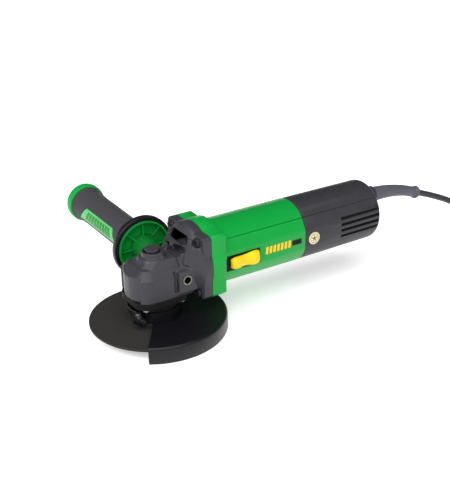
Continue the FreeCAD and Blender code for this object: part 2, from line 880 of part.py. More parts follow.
def guard_lever():
    """The quick-release lever that wraps the front of the collar and swings out, and its pin."""
    lever = new_body("guard_lever")
    boss = circle(sketch_on(lever, "XY", out="lever_base"), "3.8", "lever_pivot")
    pad(boss, "lever_high")
    strip = sketch_on(lever, "XZ")
    rectangle(strip, "lever_pivot - 1.2", "lever_base", "lever_pivot + 0.6", "lever_base + lever_high")
    spin(strip, angle="lever_wrap", back=True)
    thumb = sketch_on(lever, "XY", out="lever_base")
    outline(
        thumb,
        ("lever_pivot - 3", "1"),
        ("lever_pivot + 2.6", "-1"),
        ("lever_pivot + 5.4", "10.6"),
        ("lever_pivot + 4", "11.4"),
    )
    pad(thumb, "lever_high - 1.4")
    hole = circle(sketch_on(lever, "XY", out="lever_base - 1"), "1.6 + running", "lever_pivot")
    pad(hole, "12", back=True, hollow=True)
    bind(lever, **{"Placement.Rotation.Angle": "lever_turn"})
    pin = new_body("guard_lever_pin")
    pad(circle(sketch_on(pin, "XY", out="guard_top + 1"), "1.6", "lever_pivot"), "lever_high + 3.3")
    pad(circle(sketch_on(pin, "XY", out="lever_base + lever_high + 0.3"), "2.6", "lever_pivot"), "1.4")
    bind(pin, **{"Placement.Rotation.Angle": "lever_turn"})


# motor


def crease_cuts(body, start, length):
    """Takes the rounded sides off a barrel below its creases, which leaves a flat on each side."""
    for side in ("", "-"):
        sketch = sketch_on(body, "YZ", up="axis_up", out=start)
        outline(
            sketch,
            (side + "crease_side", "crease_up"),
            (side + "flat", "10"),
            (side + "flat", "-12"),
            (side + "(flat + 12)", "-12"),
            (side + "(flat + 12)", "crease_up + 8"),
            (side + "(crease_side + 3)", "crease_up + 8"),
        )
        pad(sketch, length, back=True, hollow=True)


def rod_channel(body, start, end):
    """The passage along the near wall that the switch rod slides in."""
    sketch = sketch_on(body, "YZ", up="axis_up", out=start)
    low = "-knob_drop - rod_high / 2 - gap"
    high = "-knob_drop + rod_high / 2 + gap"
    rectangle(sketch, "-rod_in - rod_thick - gap", low, "-rod_in + 2", high)
    pad(sketch, f"{end} - ({start})", back=True, hollow=True)


def motor_housing():
    """The moulded barrel that holds the stator, both ends of the motor's air path and the switch knob."""
    body = new_body("motor_housing")
    plate = sketch_on(body, "YZ", up="axis_up", out="plate_back")
    rectangle(plate, "-plate_half", "-plate_low", "plate_half", "plate_high")
    pad(plate, "flange_end - plate_back")
    arch = circle(sketch_on(body, "YZ", up="axis_up", out="plate_back"), "arch")
    pad(arch, "flange_end - plate_back")
    below = sketch_on(body, "YZ", up="axis_up", out="plate_back - 1")
    rectangle(below, "-50", "-60", "50", "-plate_low")
    pad(below, "20", back=True, hollow=True)
    half = value("plate_half")
    fillet(body.Tip, "4", lambda b: b.XLength > 8 and abs(b.YMin) > half - 0.1 and b.ZLength < 0.1)
    barrel = circle(sketch_on(body, "YZ", up="axis_up", out="flange_end"), "barrel")
    pad(barrel, "barrel_end - flange_end")
    crease_cuts(body, "flange_end", "barrel_end - flange_end")
    cup = along_motor(body)
    outline(
        cup,
        ("bridge_x", "0"),
        ("bridge_x", "rear_bearing_r + 3.5"),
        ("rear_bearing_x + rear_bearing_wide + 1", "rear_bearing_r + 3.5"),
        ("rear_bearing_x + rear_bearing_wide + 1", "0"),
    )
    spin(cup, "H_Axis")
    bore = along_motor(body)
    outline(
        bore,
        ("plate_back - 1", "0"),
        ("plate_back - 1", "fan_chamber"),
        ("baffle_x + baffle_wide", "fan_chamber"),
        ("baffle_x + baffle_wide", "stator"),
        ("bridge_x", "stator"),
        ("bridge_x", "shaft + 1.5"),
        ("rear_bearing_x", "shaft + 1.5"),
        ("rear_bearing_x", "rear_bearing_r + sleeve_wall"),
        ("rear_bearing_x + rear_bearing_wide + 2", "rear_bearing_r + sleeve_wall"),
        ("rear_bearing_x + rear_bearing_wide + 2", "0"),
    )
    spin(bore, "H_Axis", hollow=True)
    vents = sketch_on(body, "YZ", up="axis_up", out="bridge_x - 1")
    rectangle(vents, "-6", "17", "6", "25")
    rectangle(vents, "-6", "-25", "6", "-17")
    rectangle(vents, "17", "-6", "25", "6")
    pad(vents, "8", back=True, hollow=True)
    rod_channel(body, "baffle_x + baffle_wide", "barrel_end + 1")
    tongue = sketch_on(body, "YZ", up="axis_up", out="barrel_end - 1")
    rectangle(tongue, "-6", "-26", "6", "-19")
    pad(tongue, "86")
    cradle = sketch_on(body, "YZ", up="axis_up", out="220")
    rectangle(cradle, "-10", "-20", "10", "gland_up - cord_radius")
    pad(cradle, "15")
    tapped = sketch_on(body, "XY", out="axis_up - 27")
    circle(tapped, "1.6", "185")
    pad(tapped, "8", back=True, hollow=True)
    tapped = sketch_on(body, "XY", out="axis_up + gland_up - cord_radius")
    circle(tapped, "1.6", "227", "7")
    circle(tapped, "1.6", "227", "-7")
    pad(tapped, "6", hollow=True)
    opening = sketch_on(body, "XZ", up="axis_up - knob_drop", out="rod_in - 2")
    rectangle(opening, "knob_x - 6 - slide_travel - 1", "-rod_high / 2", "knob_x + 7", "rod_high / 2")
    pad(opening, "10", back=True, hollow=True)
    recess = sketch_on(body, "XZ", up="axis_up - knob_drop", out="flat - 0.8")
    left = "knob_x - knob_long / 2 - slide_travel - 0.7"
    rectangle(recess, left, "-knob_high / 2 - 1", "knob_x + knob_long / 2 + 2", "knob_high / 2 + 1")
    pad(recess, "8", back=True, hollow=True)
    for y, z in screw_places():
        hole = circle(sketch_on(body, "YZ", up="axis_up", out="plate_back - 1"), "screw_shank", y, z)
        pad(hole, "14.3", back=True, hollow=True)


def air_baffle():
    """The ring that leads air into the fan."""
    ring_on_motor("air_baffle", "19", "fan_chamber", "baffle_x", "baffle_x + baffle_wide")


def stator():
    """The laminated stator, its two field coils and the two long screws that hold it."""
    body = ring_on_motor("stator_core", "stator_bore", "stator", "stack_start", "stack_end")
    slots = sketch_on(body, "YZ", up="axis_up", out="stack_start")
    corners = [(y, z) for y in (1, -1) for z in (1, -1)]
    for y, z in corners:
        rectangle(slots, f"{y} * 13", f"{z} * 13", f"{y} * 18", f"{z} * 18")
    pad(slots, "stack_end - stack_start", back=True, hollow=True)
    holes = sketch_on(body, "YZ", up="axis_up", out="stack_start")
    circle(holes, "1.8", "0", "22")
    circle(holes, "1.8", "0", "-22")
    pad(holes, "stack_end - stack_start", back=True, hollow=True)
    coils = new_body("stator_windings")
    for start, length in (("stack_start - 5", "5"), ("stack_end", "4")):
        for side in (1, -1):
            turn = sketch_on(coils, "YZ", up="axis_up", out=start)
            rectangle(turn, f"{side} * 18", "-14", f"{side} * 22", "14")
            pad(turn, length)
            for z in (1, -1):
                arm = sketch_on(coils, "YZ", up="axis_up", out=start)
                rectangle(arm, f"{side} * 12.5", f"{z} * 12.5", f"{side} * 18.3", f"{z} * 18.3")
                pad(arm, length)
    bars = sketch_on(coils, "YZ", up="axis_up", out="stack_start - 1")
    for y, z in corners:
        rectangle(bars, f"{y} * 13", f"{z} * 13", f"{y} * 18", f"{z} * 18")
    pad(bars, "stack_end - stack_start + 2")
    screws = []
    for z in ("22", "-22"):
        z = f"axis_up + {z}"
        screws.append(cylinder("1.8", "stack_end - stack_start + 0.2", "stack_start - 0.1", z=z, axis="X"))
        screws.append(cylinder("3.2", "2.6", "stack_start - 2.6", z=z, axis="X"))
    fuse("stator_screws", *screws)


def armature():
    """The shaft, laminated core, windings and commutator."""
    turned_on_motor(
        "armature_shaft",
        ("tooth_in - 5", "0"),
        ("tooth_in - 5", "shaft_tip"),
        ("front_bearing_x - 1", "shaft_tip"),
        ("front_bearing_x - 1", "shaft"),
        ("rear_bearing_x - 1", "shaft"),
        ("rear_bearing_x - 1", "rear_journal"),
        ("rear_bearing_x + rear_bearing_wide", "rear_journal"),
        ("rear_bearing_x + rear_bearing_wide", "0"),
    )
    core = ring_on_motor("armature_core", "shaft", "rotor", "stack_start", "stack_end")
    slot = sketch_on(core, "YZ", up="axis_up", out="stack_start")
    rectangle(slot, "-1.3", "rotor - 6", "1.3", "rotor + 1")
    slotted = pad(slot, "stack_end - stack_start", back=True, hollow=True)
    repeat(slotted, (slot, ["N_Axis"]), "12")
    coils = ring_on_motor("armature_windings", "shaft", "rotor - 2.4", "stack_start - 7", "stack_start")
    rear = sketch_on(coils, "YZ", up="axis_up", out="stack_end")
    circle(circle(rear, "rotor - 3.4"), "shaft")
    pad(rear, "commutator_x - stack_end")
    bar = sketch_on(coils, "YZ", up="axis_up", out="stack_start - 1")
    rectangle(bar, "-1.3", "rotor - 6", "1.3", "rotor - 3.6")
    filled = pad(bar, "stack_end - stack_start + 2")
    repeat(filled, (bar, ["N_Axis"]), "12")
    turned_on_motor(
        "commutator",
        ("commutator_x", "shaft"),
        ("commutator_end", "shaft"),
        ("commutator_end", "commutator"),
        ("commutator_x + 2.5", "commutator"),
        ("commutator_x + 2.5", "commutator + 1.6"),
        ("commutator_x", "commutator + 1.6"),
    )


def fan():
    """The fan behind the gear head: a dished back plate with straight blades on its front."""
    back = "fan_x + fan_wide"
    body = turned_on_motor(
        "fan",
        ("fan_x + 1", "shaft"),
        (back, "shaft"),
        (back, "fan_radius"),
        (back + " - 1.8", "fan_radius"),
        (back + " - 2.6", "shaft + 4"),
        ("fan_x + 1", "shaft + 4"),
    )
    blade = sketch_on(body, "YZ", up="axis_up", out="fan_x")
    rectangle(blade, "-0.7", "11", "0.7", "fan_radius - 0.5")
    upright = pad(blade, "fan_wide - 1")
    repeat(upright, (blade, ["N_Axis"]), "16")


def motor_bearings():
    """Ball bearings at both ends of the shaft, the rear one in a rubber sleeve."""
    front_end = "front_bearing_x + front_bearing_wide"
    rear_end = "rear_bearing_x + rear_bearing_wide"
    ring_on_motor("front_bearing", "shaft + running", "front_bearing_r", "front_bearing_x", front_end)
    ring_on_motor("rear_bearing", "rear_journal + running", "rear_bearing_r", "rear_bearing_x", rear_end)
    sleeve = "rear_bearing_r + sleeve_wall"
    ring_on_motor("bearing_sleeve", "rear_bearing_r", sleeve, "rear_bearing_x", rear_end)


def brush_gear():
    """Two brass boxes above and below the commutator, with a carbon brush and a spring in each."""
    boxes, brushes, springs = [], [], []
    for side in (1, -1):
        inner = f"axis_up + {side} * (commutator + 1.5)"
        brush_inner = f"axis_up + {side} * (commutator + 0.05)"
        brush_outer = f"axis_up + {side} * (commutator + 7)"
        outer = f"axis_up + {side} * (stator - 1.2)"
        low, high = (inner, outer) if side > 0 else (outer, inner)
        shell = box("131", "-4.5", low, "139", "4.5", high)
        room = box("132.2", "-3.2", low, "137.8", "3.2", high)
        boxes.append(cut("brush_box", shell, room))
        low, high = (brush_inner, brush_outer) if side > 0 else (brush_outer, brush_inner)
        brushes.append(box("132.4", "-3", low, "137.6", "3", high))
        low, high = (brush_outer, outer) if side > 0 else (outer, brush_outer)
        coil = cylinder("2.4", f"({high}) - ({low})", "135", z=low)
        room = cylinder("1.7", f"({high}) - ({low})", "135", z=low)
        springs.append(cut("brush_coil", coil, room))
    fuse("brush_holders", *boxes)
    fuse("carbon_brushes", *brushes)
    fuse("brush_springs", *springs)


# slide switch


def switch():
    """The thumb slide, the rod it pushes and the switch block in the rear cover."""
    knob = new_body("switch_knob")
    side = sketch_on(knob, "XZ", up="axis_up - knob_drop", out="flat - 0.5")
    left, right = "knob_x - knob_long / 2", "knob_x + knob_long / 2"
    rectangle(side, left, "-knob_high / 2", right, "knob_high / 2")
    fillet(pad(side, "knob_proud"), "2.5", lambda b: b.YLength > 1)
    dip = sketch_on(knob, "XY", out="axis_up")
    crown = "-flat + 0.5 - knob_proud"
    outline(
        dip,
        ("knob_x - 7", crown + " - 1"),
        ("knob_x - 5", crown + " + 1.4"),
        ("knob_x - 1", crown + " + 2.4"),
        ("knob_x + 4", crown + " + 1.8"),
        ("knob_x + 6", crown + " - 1"),
    )
    pad(dip, "40", middle=True, hollow=True)
    outer = -value("flat - 0.5 + knob_proud")
    fillet(knob.Tip, "0.9", lambda b: b.YMax < outer + 0.05)
    neck = sketch_on(knob, "XZ", up="axis_up - knob_drop", out="rod_in + rod_thick")
    rectangle(neck, "knob_x - 6", "-rod_high / 2 + 0.4", "knob_x + 6", "rod_high / 2 - 0.4")
    pad(neck, "flat - rod_in - rod_thick")
    low = "axis_up - knob_drop - rod_high / 2"
    box_inner, box_outer = "-rod_in - rod_thick", "-rod_in"
    rod = box("knob_x - 6", box_inner, low, "rod_end", box_outer, low + " + rod_high")
    hook = box("rod_end - 3", box_inner, low, "rod_end", "-12", low + " + rod_high")
    fuse("switch_rod", rod, hook)
    low = "axis_up - 12"
    body = box("rod_end - 8 - slide_travel", "-14", low, "rod_end + 26", "12", low + " + 22")
    body_slot = box("rod_end - 5 - slide_travel", "-15", low + " + 4", "rod_end + 2", "-10", low + " + 18")
    cut("switch_block", body, body_slot)


# rear cover


def rear_cover():
    """The rear shell, slotted for air on both sides, with the gland that the cord's boot comes out of."""
    body = new_body("rear_cover")
    shell = along_motor(body)
    outline(
        shell,
        ("barrel_end", "0"),
        ("barrel_end", "barrel - 0.2"),
        ("cover_end", "cover_end_radius"),
        ("cover_end", "0"),
    )
    shell = spin(shell, "H_Axis")
    end = value("cover_end")
    fillet(shell, "7", lambda b: b.XMin > end - 0.1)
    crease_cuts(body, "barrel_end", "cover_end - barrel_end")
    boss = sketch_on(body, "YZ", up="gland_height", out="cover_end - 8")
    circle(boss, "gland_radius")
    pad(boss, "gland_end - cover_end + 8")
    inside = along_motor(body)
    outline(
        inside,
        ("barrel_end - 1", "0"),
        ("barrel_end - 1", "flat - cover_wall"),
        ("cover_end - 6", "cover_end_radius - cover_wall - 0.6"),
        ("cover_end - cover_wall", "cover_end_radius - cover_wall - 5"),
        ("cover_end - cover_wall", "0"),
    )
    spin(inside, "H_Axis", hollow=True)
    gland = circle(sketch_on(body, "YZ", up="gland_height", out="cover_end - 9"), "boot_radius")
    pad(gland, "30", back=True, hollow=True)
    rod_channel(body, "barrel_end - 1", "rod_end + 2")
    screw = circle(sketch_on(body, "XY", out="axis_up - barrel - 1"), "2.9", "185")
    pad(screw, "barrel - 27.8", back=True, hollow=True)
    screw = circle(sketch_on(body, "XY", out="axis_up - barrel - 1"), "1.6", "185")
    pad(screw, "barrel - 25.4", back=True, hollow=True)
    slots = sketch_on(body, "XZ", up="axis_up")
    for k in range(4):
        top = f"slot_top + slot_high / 2 - {k} * slot_pitch"
        rectangle(slots, "slot_start", f"{top} - slot_high", "cover_end - 3.4", top)
    pad(slots, "90", middle=True, hollow=True)


def rear_cover_screw():
    """The screw that holds the rear cover to the tongue under the switch block."""
    head = cylinder("2.8", "1.6", "185", z="axis_up - 30.4")
    shank = cylinder("1.6", "10", "185", z="axis_up - 29")
    fuse("rear_cover_screw", head, shank)


def badge():
    """A plain round badge on the cover's near side."""
    cylinder("6.5", "0.8", "160.6", "-flat", "axis_up - 1", "-Y").Label = "badge"


# supply cord


def cord_arcs(points):
    """A wire of straight runs joined by tangent arcs, and the arcs' radii.

    Each arc's radius is 0.45 of the shorter run beside it over the tangent of half the turn.
    """
    edges, radii = [], []
    start = points[0]
    for before, corner, after in zip(points, points[1:], points[2:]):
        arriving, leaving = (corner - before).normalize(), (after - corner).normalize()
        half_turn = arriving.getAngle(leaving) / 2
        reach = 0.45 * min(corner.distanceToPoint(before), corner.distanceToPoint(after))
        radii.append(reach / math.tan(half_turn))
        entry, leave = corner - arriving * reach, corner + leaving * reach
        inward = (leaving - arriving).normalize()
        middle = corner + inward * radii[-1] * (1 / math.cos(half_turn) - 1)
        edges.append(Part.LineSegment(start, entry).toShape())
        edges.append(Part.Arc(entry, middle, leave).toShape())
        start = leave
    edges.append(Part.LineSegment(start, points[-1]).toShape())
    return Part.Wire(edges), radii


def feature(label, shape):
    """A sub-part whose shape is worked out with Part's own functions."""
    thing = document.addObject("Part::Feature", label)
    thing.Shape = shape
    return thing


def routed(beyond, y, height):
    """A point of the cord's lists where it lies with the rear cover and the gland that are built now."""
    return Vector(value("cover_end") + beyond, y, height * value("gland_height") / ROUTED_GLAND)


def cord_boot():
    """The curved rubber boot, tapering from the gland to a collar at its end."""
    sheet = document.Sizes
    rings = []
    stations = [(routed(beyond, 0, height), radius) for beyond, height, radius in BOOT_STATIONS]
    end, after = routed(*CORD_ROUTE[0]), routed(*CORD_ROUTE[1])
    along = (after - end).normalize()
    start = end - along * sheet.boot_collar
    stations.append((start, BOOT_STATIONS[-1][2] - 0.3))
    ahead = [centre for centre, _ in stations[1:]] + [end]
    behind = [stations[0][0]] + [centre for centre, _ in stations[:-1]]
    for (centre, radius), after, before in zip(stations, ahead, behind):
        rings.append(Part.Wire(Part.Circle(centre, after - before, radius).toShape()))
    body = Part.makeLoft(rings, True)
    collar = Part.makeCylinder(sheet.boot_end_radius, sheet.boot_collar, start, along)
    feature("cord_boot", body.fuse(collar).removeSplitter())


def cord_tube():
    """The free stretch of the cord, from its boot down to where it enters the coil."""
    radius = document.Sizes.cord_radius
    points = [routed(*point) for point in CORD_ROUTE]
    path, radii = cord_arcs(points)
    first = path.Edges[0]
    along = first.Vertexes[1].Point - first.Vertexes[0].Point
    section = Part.Wire(Part.Circle(points[0], along, radius).toShape())
    tube = path.makePipeShell([section], True, True)
    expected = math.pi * radius**2 * path.Length
    print("cord arcs' radii:", [round(r, 1) for r in radii], "path length:", round(path.Length, 1))
    if abs(tube.Volume / expected - 1) > 0.01:
        raise RuntimeError("the cord's tube doesn't have its section's volume")
    document.recompute()
    feature("cord_tube", tube.cut(document.getObjectsByLabel("cord_coil")[0].Shape))


def cord_coil():
    """The put-away length: one solid of the coil's outer shape, lying where the tool stands."""
    floor = "disc_seat - skirt_low"
    inner, outer = "coil_radius - coil_half", "coil_radius + coil_half"
    coil = turned(
        "cord_coil",
        (inner + " + 2.5", floor),
        (outer + " - 2.5", floor),
        (outer, floor + " + 2.5"),
        (outer, floor + " + coil_high - 2.5"),
        (outer + " - 2.5", floor + " + coil_high"),
        (inner + " + 2.5", floor + " + coil_high"),
        (inner, floor + " + coil_high - 2.5"),
        (inner, floor + " + 2.5"),
    )
    put(coil, "coil_x", "coil_y")
    x, y = "coil_x + coil_radius", "coil_y - coil_radius + 12"
    z = "disc_seat - skirt_low + plug_middle"
    tail = cylinder("cord_radius", "tail_long", x, y, z, "-Y")
    cut("cord_tail", tail, cylinder("coil_radius + coil_half", "coil_high", "coil_x", "coil_y", floor))


def plug():
    """The moulded two-pin plug at the cord's far end, lying on its side beside the coil."""
    x = "coil_x + coil_radius"
    y = "coil_y - coil_radius + 12 - tail_long"
    z = "disc_seat - skirt_low + plug_middle"
    body = new_body("plug_body")
    face = sketch_on(body, "XZ", right=x, up=z, out=f"relief_long - ({y})")
    rectangle(face, "-plug_half", "-plug_middle", "plug_half", "plug_middle")
    solid = pad(face, "plug_long")
    solid = fillet(solid, "plug_middle - 1.2", lambda b: b.YLength > 20)
    front = value("plug_long")
    low = solid.Shape.BoundBox.YMin
    solid = fillet(solid, "2", lambda b: b.YMax < low + 0.1)
    solid = fillet(solid, "6", lambda b: b.YMin > low + front - 0.1)
    relief = sketch_on(body, "YZ", right=y, up=z, out=x)
    inside = "-relief_long - 2"
    outline(relief, ("0", "0"), ("0", "cord_radius + 1"), (inside, "8.5"), (inside, "0"))
    spin(relief, "H_Axis")
    pins = []
    for side in (1, -1):
        start = f"{y} - relief_long - plug_long"
        pin_x = f"{x} + {side} * plug_pin_side"
        pins.append(cylinder("plug_pin", "plug_pin_long", pin_x, start, z, "-Y"))
    fuse("plug_pins", *pins)


def lead_and_clamp():
    """The lead inside the rear cover, held on its cradle by a screwed bar."""
    z = "gland_height"
    lead = cylinder("cord_radius", "cover_end - 212", "206", z=z, axis="X")
    lead.Label = "inner_lead"
    bar = box("222", "-10", z, "232", "10", z + " + 5.5")
    groove = cylinder("cord_radius", "12", "221", z=z, axis="X")
    holes = [cylinder("1.6", "8", "227", y, z + " - 1") for y in ("7", "-7")]
    cut("cord_clamp", bar, groove, *holes)
    screws = []
    for y in ("7", "-7"):
        screws.append(cylinder("1.6", "cord_radius + 10.4", "227", y, z + " - cord_radius - 5"))
        screws.append(cylinder("2.8", "1.8", "227", y, z + " + 5.5"))
    fuse("cord_clamp_screws", *screws)


# side handle


def side_handle():
    """The screwed-in handle: stud, core with its ribbed dish, black rim, grip and end cap."""
    bolt = "handle_thread + 0.5"
    turned_on_handle(
        "handle_stud",
        ("boss_half - insert_long + 0.6", "0"),
        ("boss_half - insert_long + 0.6", "handle_thread - running"),
        ("boss_half + 0.3", "handle_thread - running"),
        ("boss_half + 0.3", bolt),
        ("70", bolt),
        ("70", "6"),
        ("75", "6"),
        ("75", "0"),
    )
    core = turned_on_handle(
        "handle_core",
        ("hub_front", bolt),
        ("hub_front", "8"),
        ("dish_front + 4.6", "13"),
        ("dish_front + 4.6", "dish_radius - 1.8"),
        ("dish_front", "dish_radius - 1.8"),
        ("dish_front", "dish_radius"),
        ("rim_back", "dish_radius"),
        ("rim_back", "core_radius"),
        ("grip_end", "core_radius"),
        ("grip_end", "0"),
        ("75", "0"),
        ("75", "6"),
        ("70", "6"),
        ("70", bolt),
    )
    back = "-(dish_front + 4.7)"
    rib = sketch_on(core, "XZ", right="handle_x", up="disc_seat + handle_high", out=back)
    rectangle(rib, "9", "-0.8", "dish_radius - 1", "0.8")
    upright = pad(rib, "3.7")
    repeat(upright, (rib, ["N_Axis"]), "8")
    turned_on_handle(
        "handle_rim",
        ("rim_front", "dish_radius"),
        ("rim_front", "rim_radius - 1"),
        ("rim_front + 1", "rim_radius"),
        ("rim_back", "rim_radius"),
        ("rim_back + 2", "rim_radius - 2.5"),
        ("rim_back + 2", "core_radius"),
        ("rim_back", "core_radius"),
        ("rim_back", "dish_radius"),
    )
    turned_on_handle(
        "handle_grip",
        ("rim_back + 2", "core_radius"),
        ("rim_back + 2", "grip_radius - 1"),
        ("rim_back + 8", "grip_radius"),
        ("grip_end - 25", "grip_radius + 0.3"),
        ("grip_end - 8", "grip_radius + 1"),
        ("grip_end", "grip_radius + 1.8"),
        ("grip_end", "core_radius"),
    )
    turned_on_handle(
        "handle_end_cap",
        ("grip_end", "0"),
        ("grip_end", "cap_radius - 1"),
        ("grip_end + 1.5", "cap_radius"),
        ("cap_end - 3", "cap_radius"),
        ("cap_end", "cap_radius - 3"),
        ("cap_end", "0"),
    )


NODES = [
    "spindle", "inner_flange", "abrasive_disc", "lock_nut", "bevel_gear", "gear_retaining_ring",
    "pinion", "pinion_nut", "gearbox_housing", "gearbox_screws", "handle_inserts", "bearing_cover",
    "bearing_cover_screws", "spindle_bearing", "spindle_bush", "dust_seal", "lock_button",
    "lock_tongue", "lock_spring", "guard_shell", "guard_collar", "guard_lever", "guard_lever_pin",
    "motor_housing", "air_baffle", "stator_core", "stator_windings", "stator_screws",
    "armature_shaft", "armature_core", "armature_windings", "commutator", "fan", "front_bearing",
    "rear_bearing", "bearing_sleeve", "brush_holders", "carbon_brushes", "brush_springs",
    "switch_knob", "switch_rod", "switch_block", "rear_cover", "rear_cover_screw", "badge",
    "cord_boot", "cord_tube", "cord_coil", "cord_tail", "plug_body", "plug_pins", "inner_lead",
    "cord_clamp", "cord_clamp_screws", "handle_stud", "handle_core", "handle_rim", "handle_grip",
    "handle_end_cap",
]


def write_nodes():
    """Checks every object of the document, then writes each sub-part to its own STEP file."""
    document.recompute()
    faults = [o.Label for o in document.Objects if {"Invalid", "Error"} & set(o.State)]
    for label in NODES:
        shape = document.getObjectsByLabel(label)[0].Shape
        if shape.isNull() or not shape.isValid() or not shape.Solids:
            faults.append(label)
    if faults:
        raise RuntimeError("faulty: " + ", ".join(faults))
    os.makedirs("parts", exist_ok=True)
    for label in NODES:
        document.getObjectsByLabel(label)[0].Shape.exportStep(f"parts/{label}.step")


def main():
    """Builds the tool from the spindle outwards."""
    make_sheet()
    for build in (
        spindle, inner_flange, abrasive_disc, lock_nut, bevel_gear, pinion, retaining_rings,
        gearbox_housing, gearbox_screws, handle_inserts, bearing_cover, bearing_cover_screws,
        spindle_bearings, lock_button, guard_shell, guard_collar, guard_lever, motor_housing,
        air_baffle, stator, armature, fan, motor_bearings, brush_gear, switch, rear_cover,
        rear_cover_screw, badge, cord_boot, cord_coil, cord_tube, plug, lead_and_clamp, side_handle,
    ):
        build()
    write_nodes()


main()
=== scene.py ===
"""An angle grinder for 125 mm discs, dressed and lit as it stands on a pale floor.

Sizes in the classes are in millimetres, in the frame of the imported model: the origin is the centre of
the spindle's free end, +Z goes up the spindle, +X along the motor to the cord and +Y to the side handle.
Meshes are made in metres.
"""

from __future__ import annotations

import logging
import math
from collections.abc import Callable
from dataclasses import dataclass
from enum import Enum

import bmesh
import bpy
from mathutils import Matrix, Vector


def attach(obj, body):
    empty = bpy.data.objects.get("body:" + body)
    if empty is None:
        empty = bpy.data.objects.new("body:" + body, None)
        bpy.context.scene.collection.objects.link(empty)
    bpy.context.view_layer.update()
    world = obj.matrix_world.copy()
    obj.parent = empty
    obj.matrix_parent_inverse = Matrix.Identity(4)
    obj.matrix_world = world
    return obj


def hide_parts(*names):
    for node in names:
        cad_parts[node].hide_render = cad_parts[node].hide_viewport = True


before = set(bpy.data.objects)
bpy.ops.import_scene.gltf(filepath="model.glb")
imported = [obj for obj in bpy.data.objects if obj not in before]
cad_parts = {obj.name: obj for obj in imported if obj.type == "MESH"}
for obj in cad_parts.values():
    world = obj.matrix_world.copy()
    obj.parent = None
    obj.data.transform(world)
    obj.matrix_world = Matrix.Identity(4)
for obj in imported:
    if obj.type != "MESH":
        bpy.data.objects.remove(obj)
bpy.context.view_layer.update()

MM = 0.001
# where the motor's axis and the side handle's axis run, in millimetres
AXIS_UP = 61.9
HANDLE_X, HANDLE_UP = 20.8, 53.9
Point = tuple[float, float, float]
Profile = list[tuple[float, float]]
log = logging.getLogger("grinder")


# finishes


class Relief(Enum):
    """The small shape of a surface, which its bump follows."""

    GRAIN = "fine grain of a spark-eroded mould"
    PEEL = "soft waves of sprayed paint"
    RINGS = "turning marks round an axis"
    BANDS = "ridges along an axis"
    GRIT = "pressed abrasive grains"
    KNURL = "short crossed ridges"


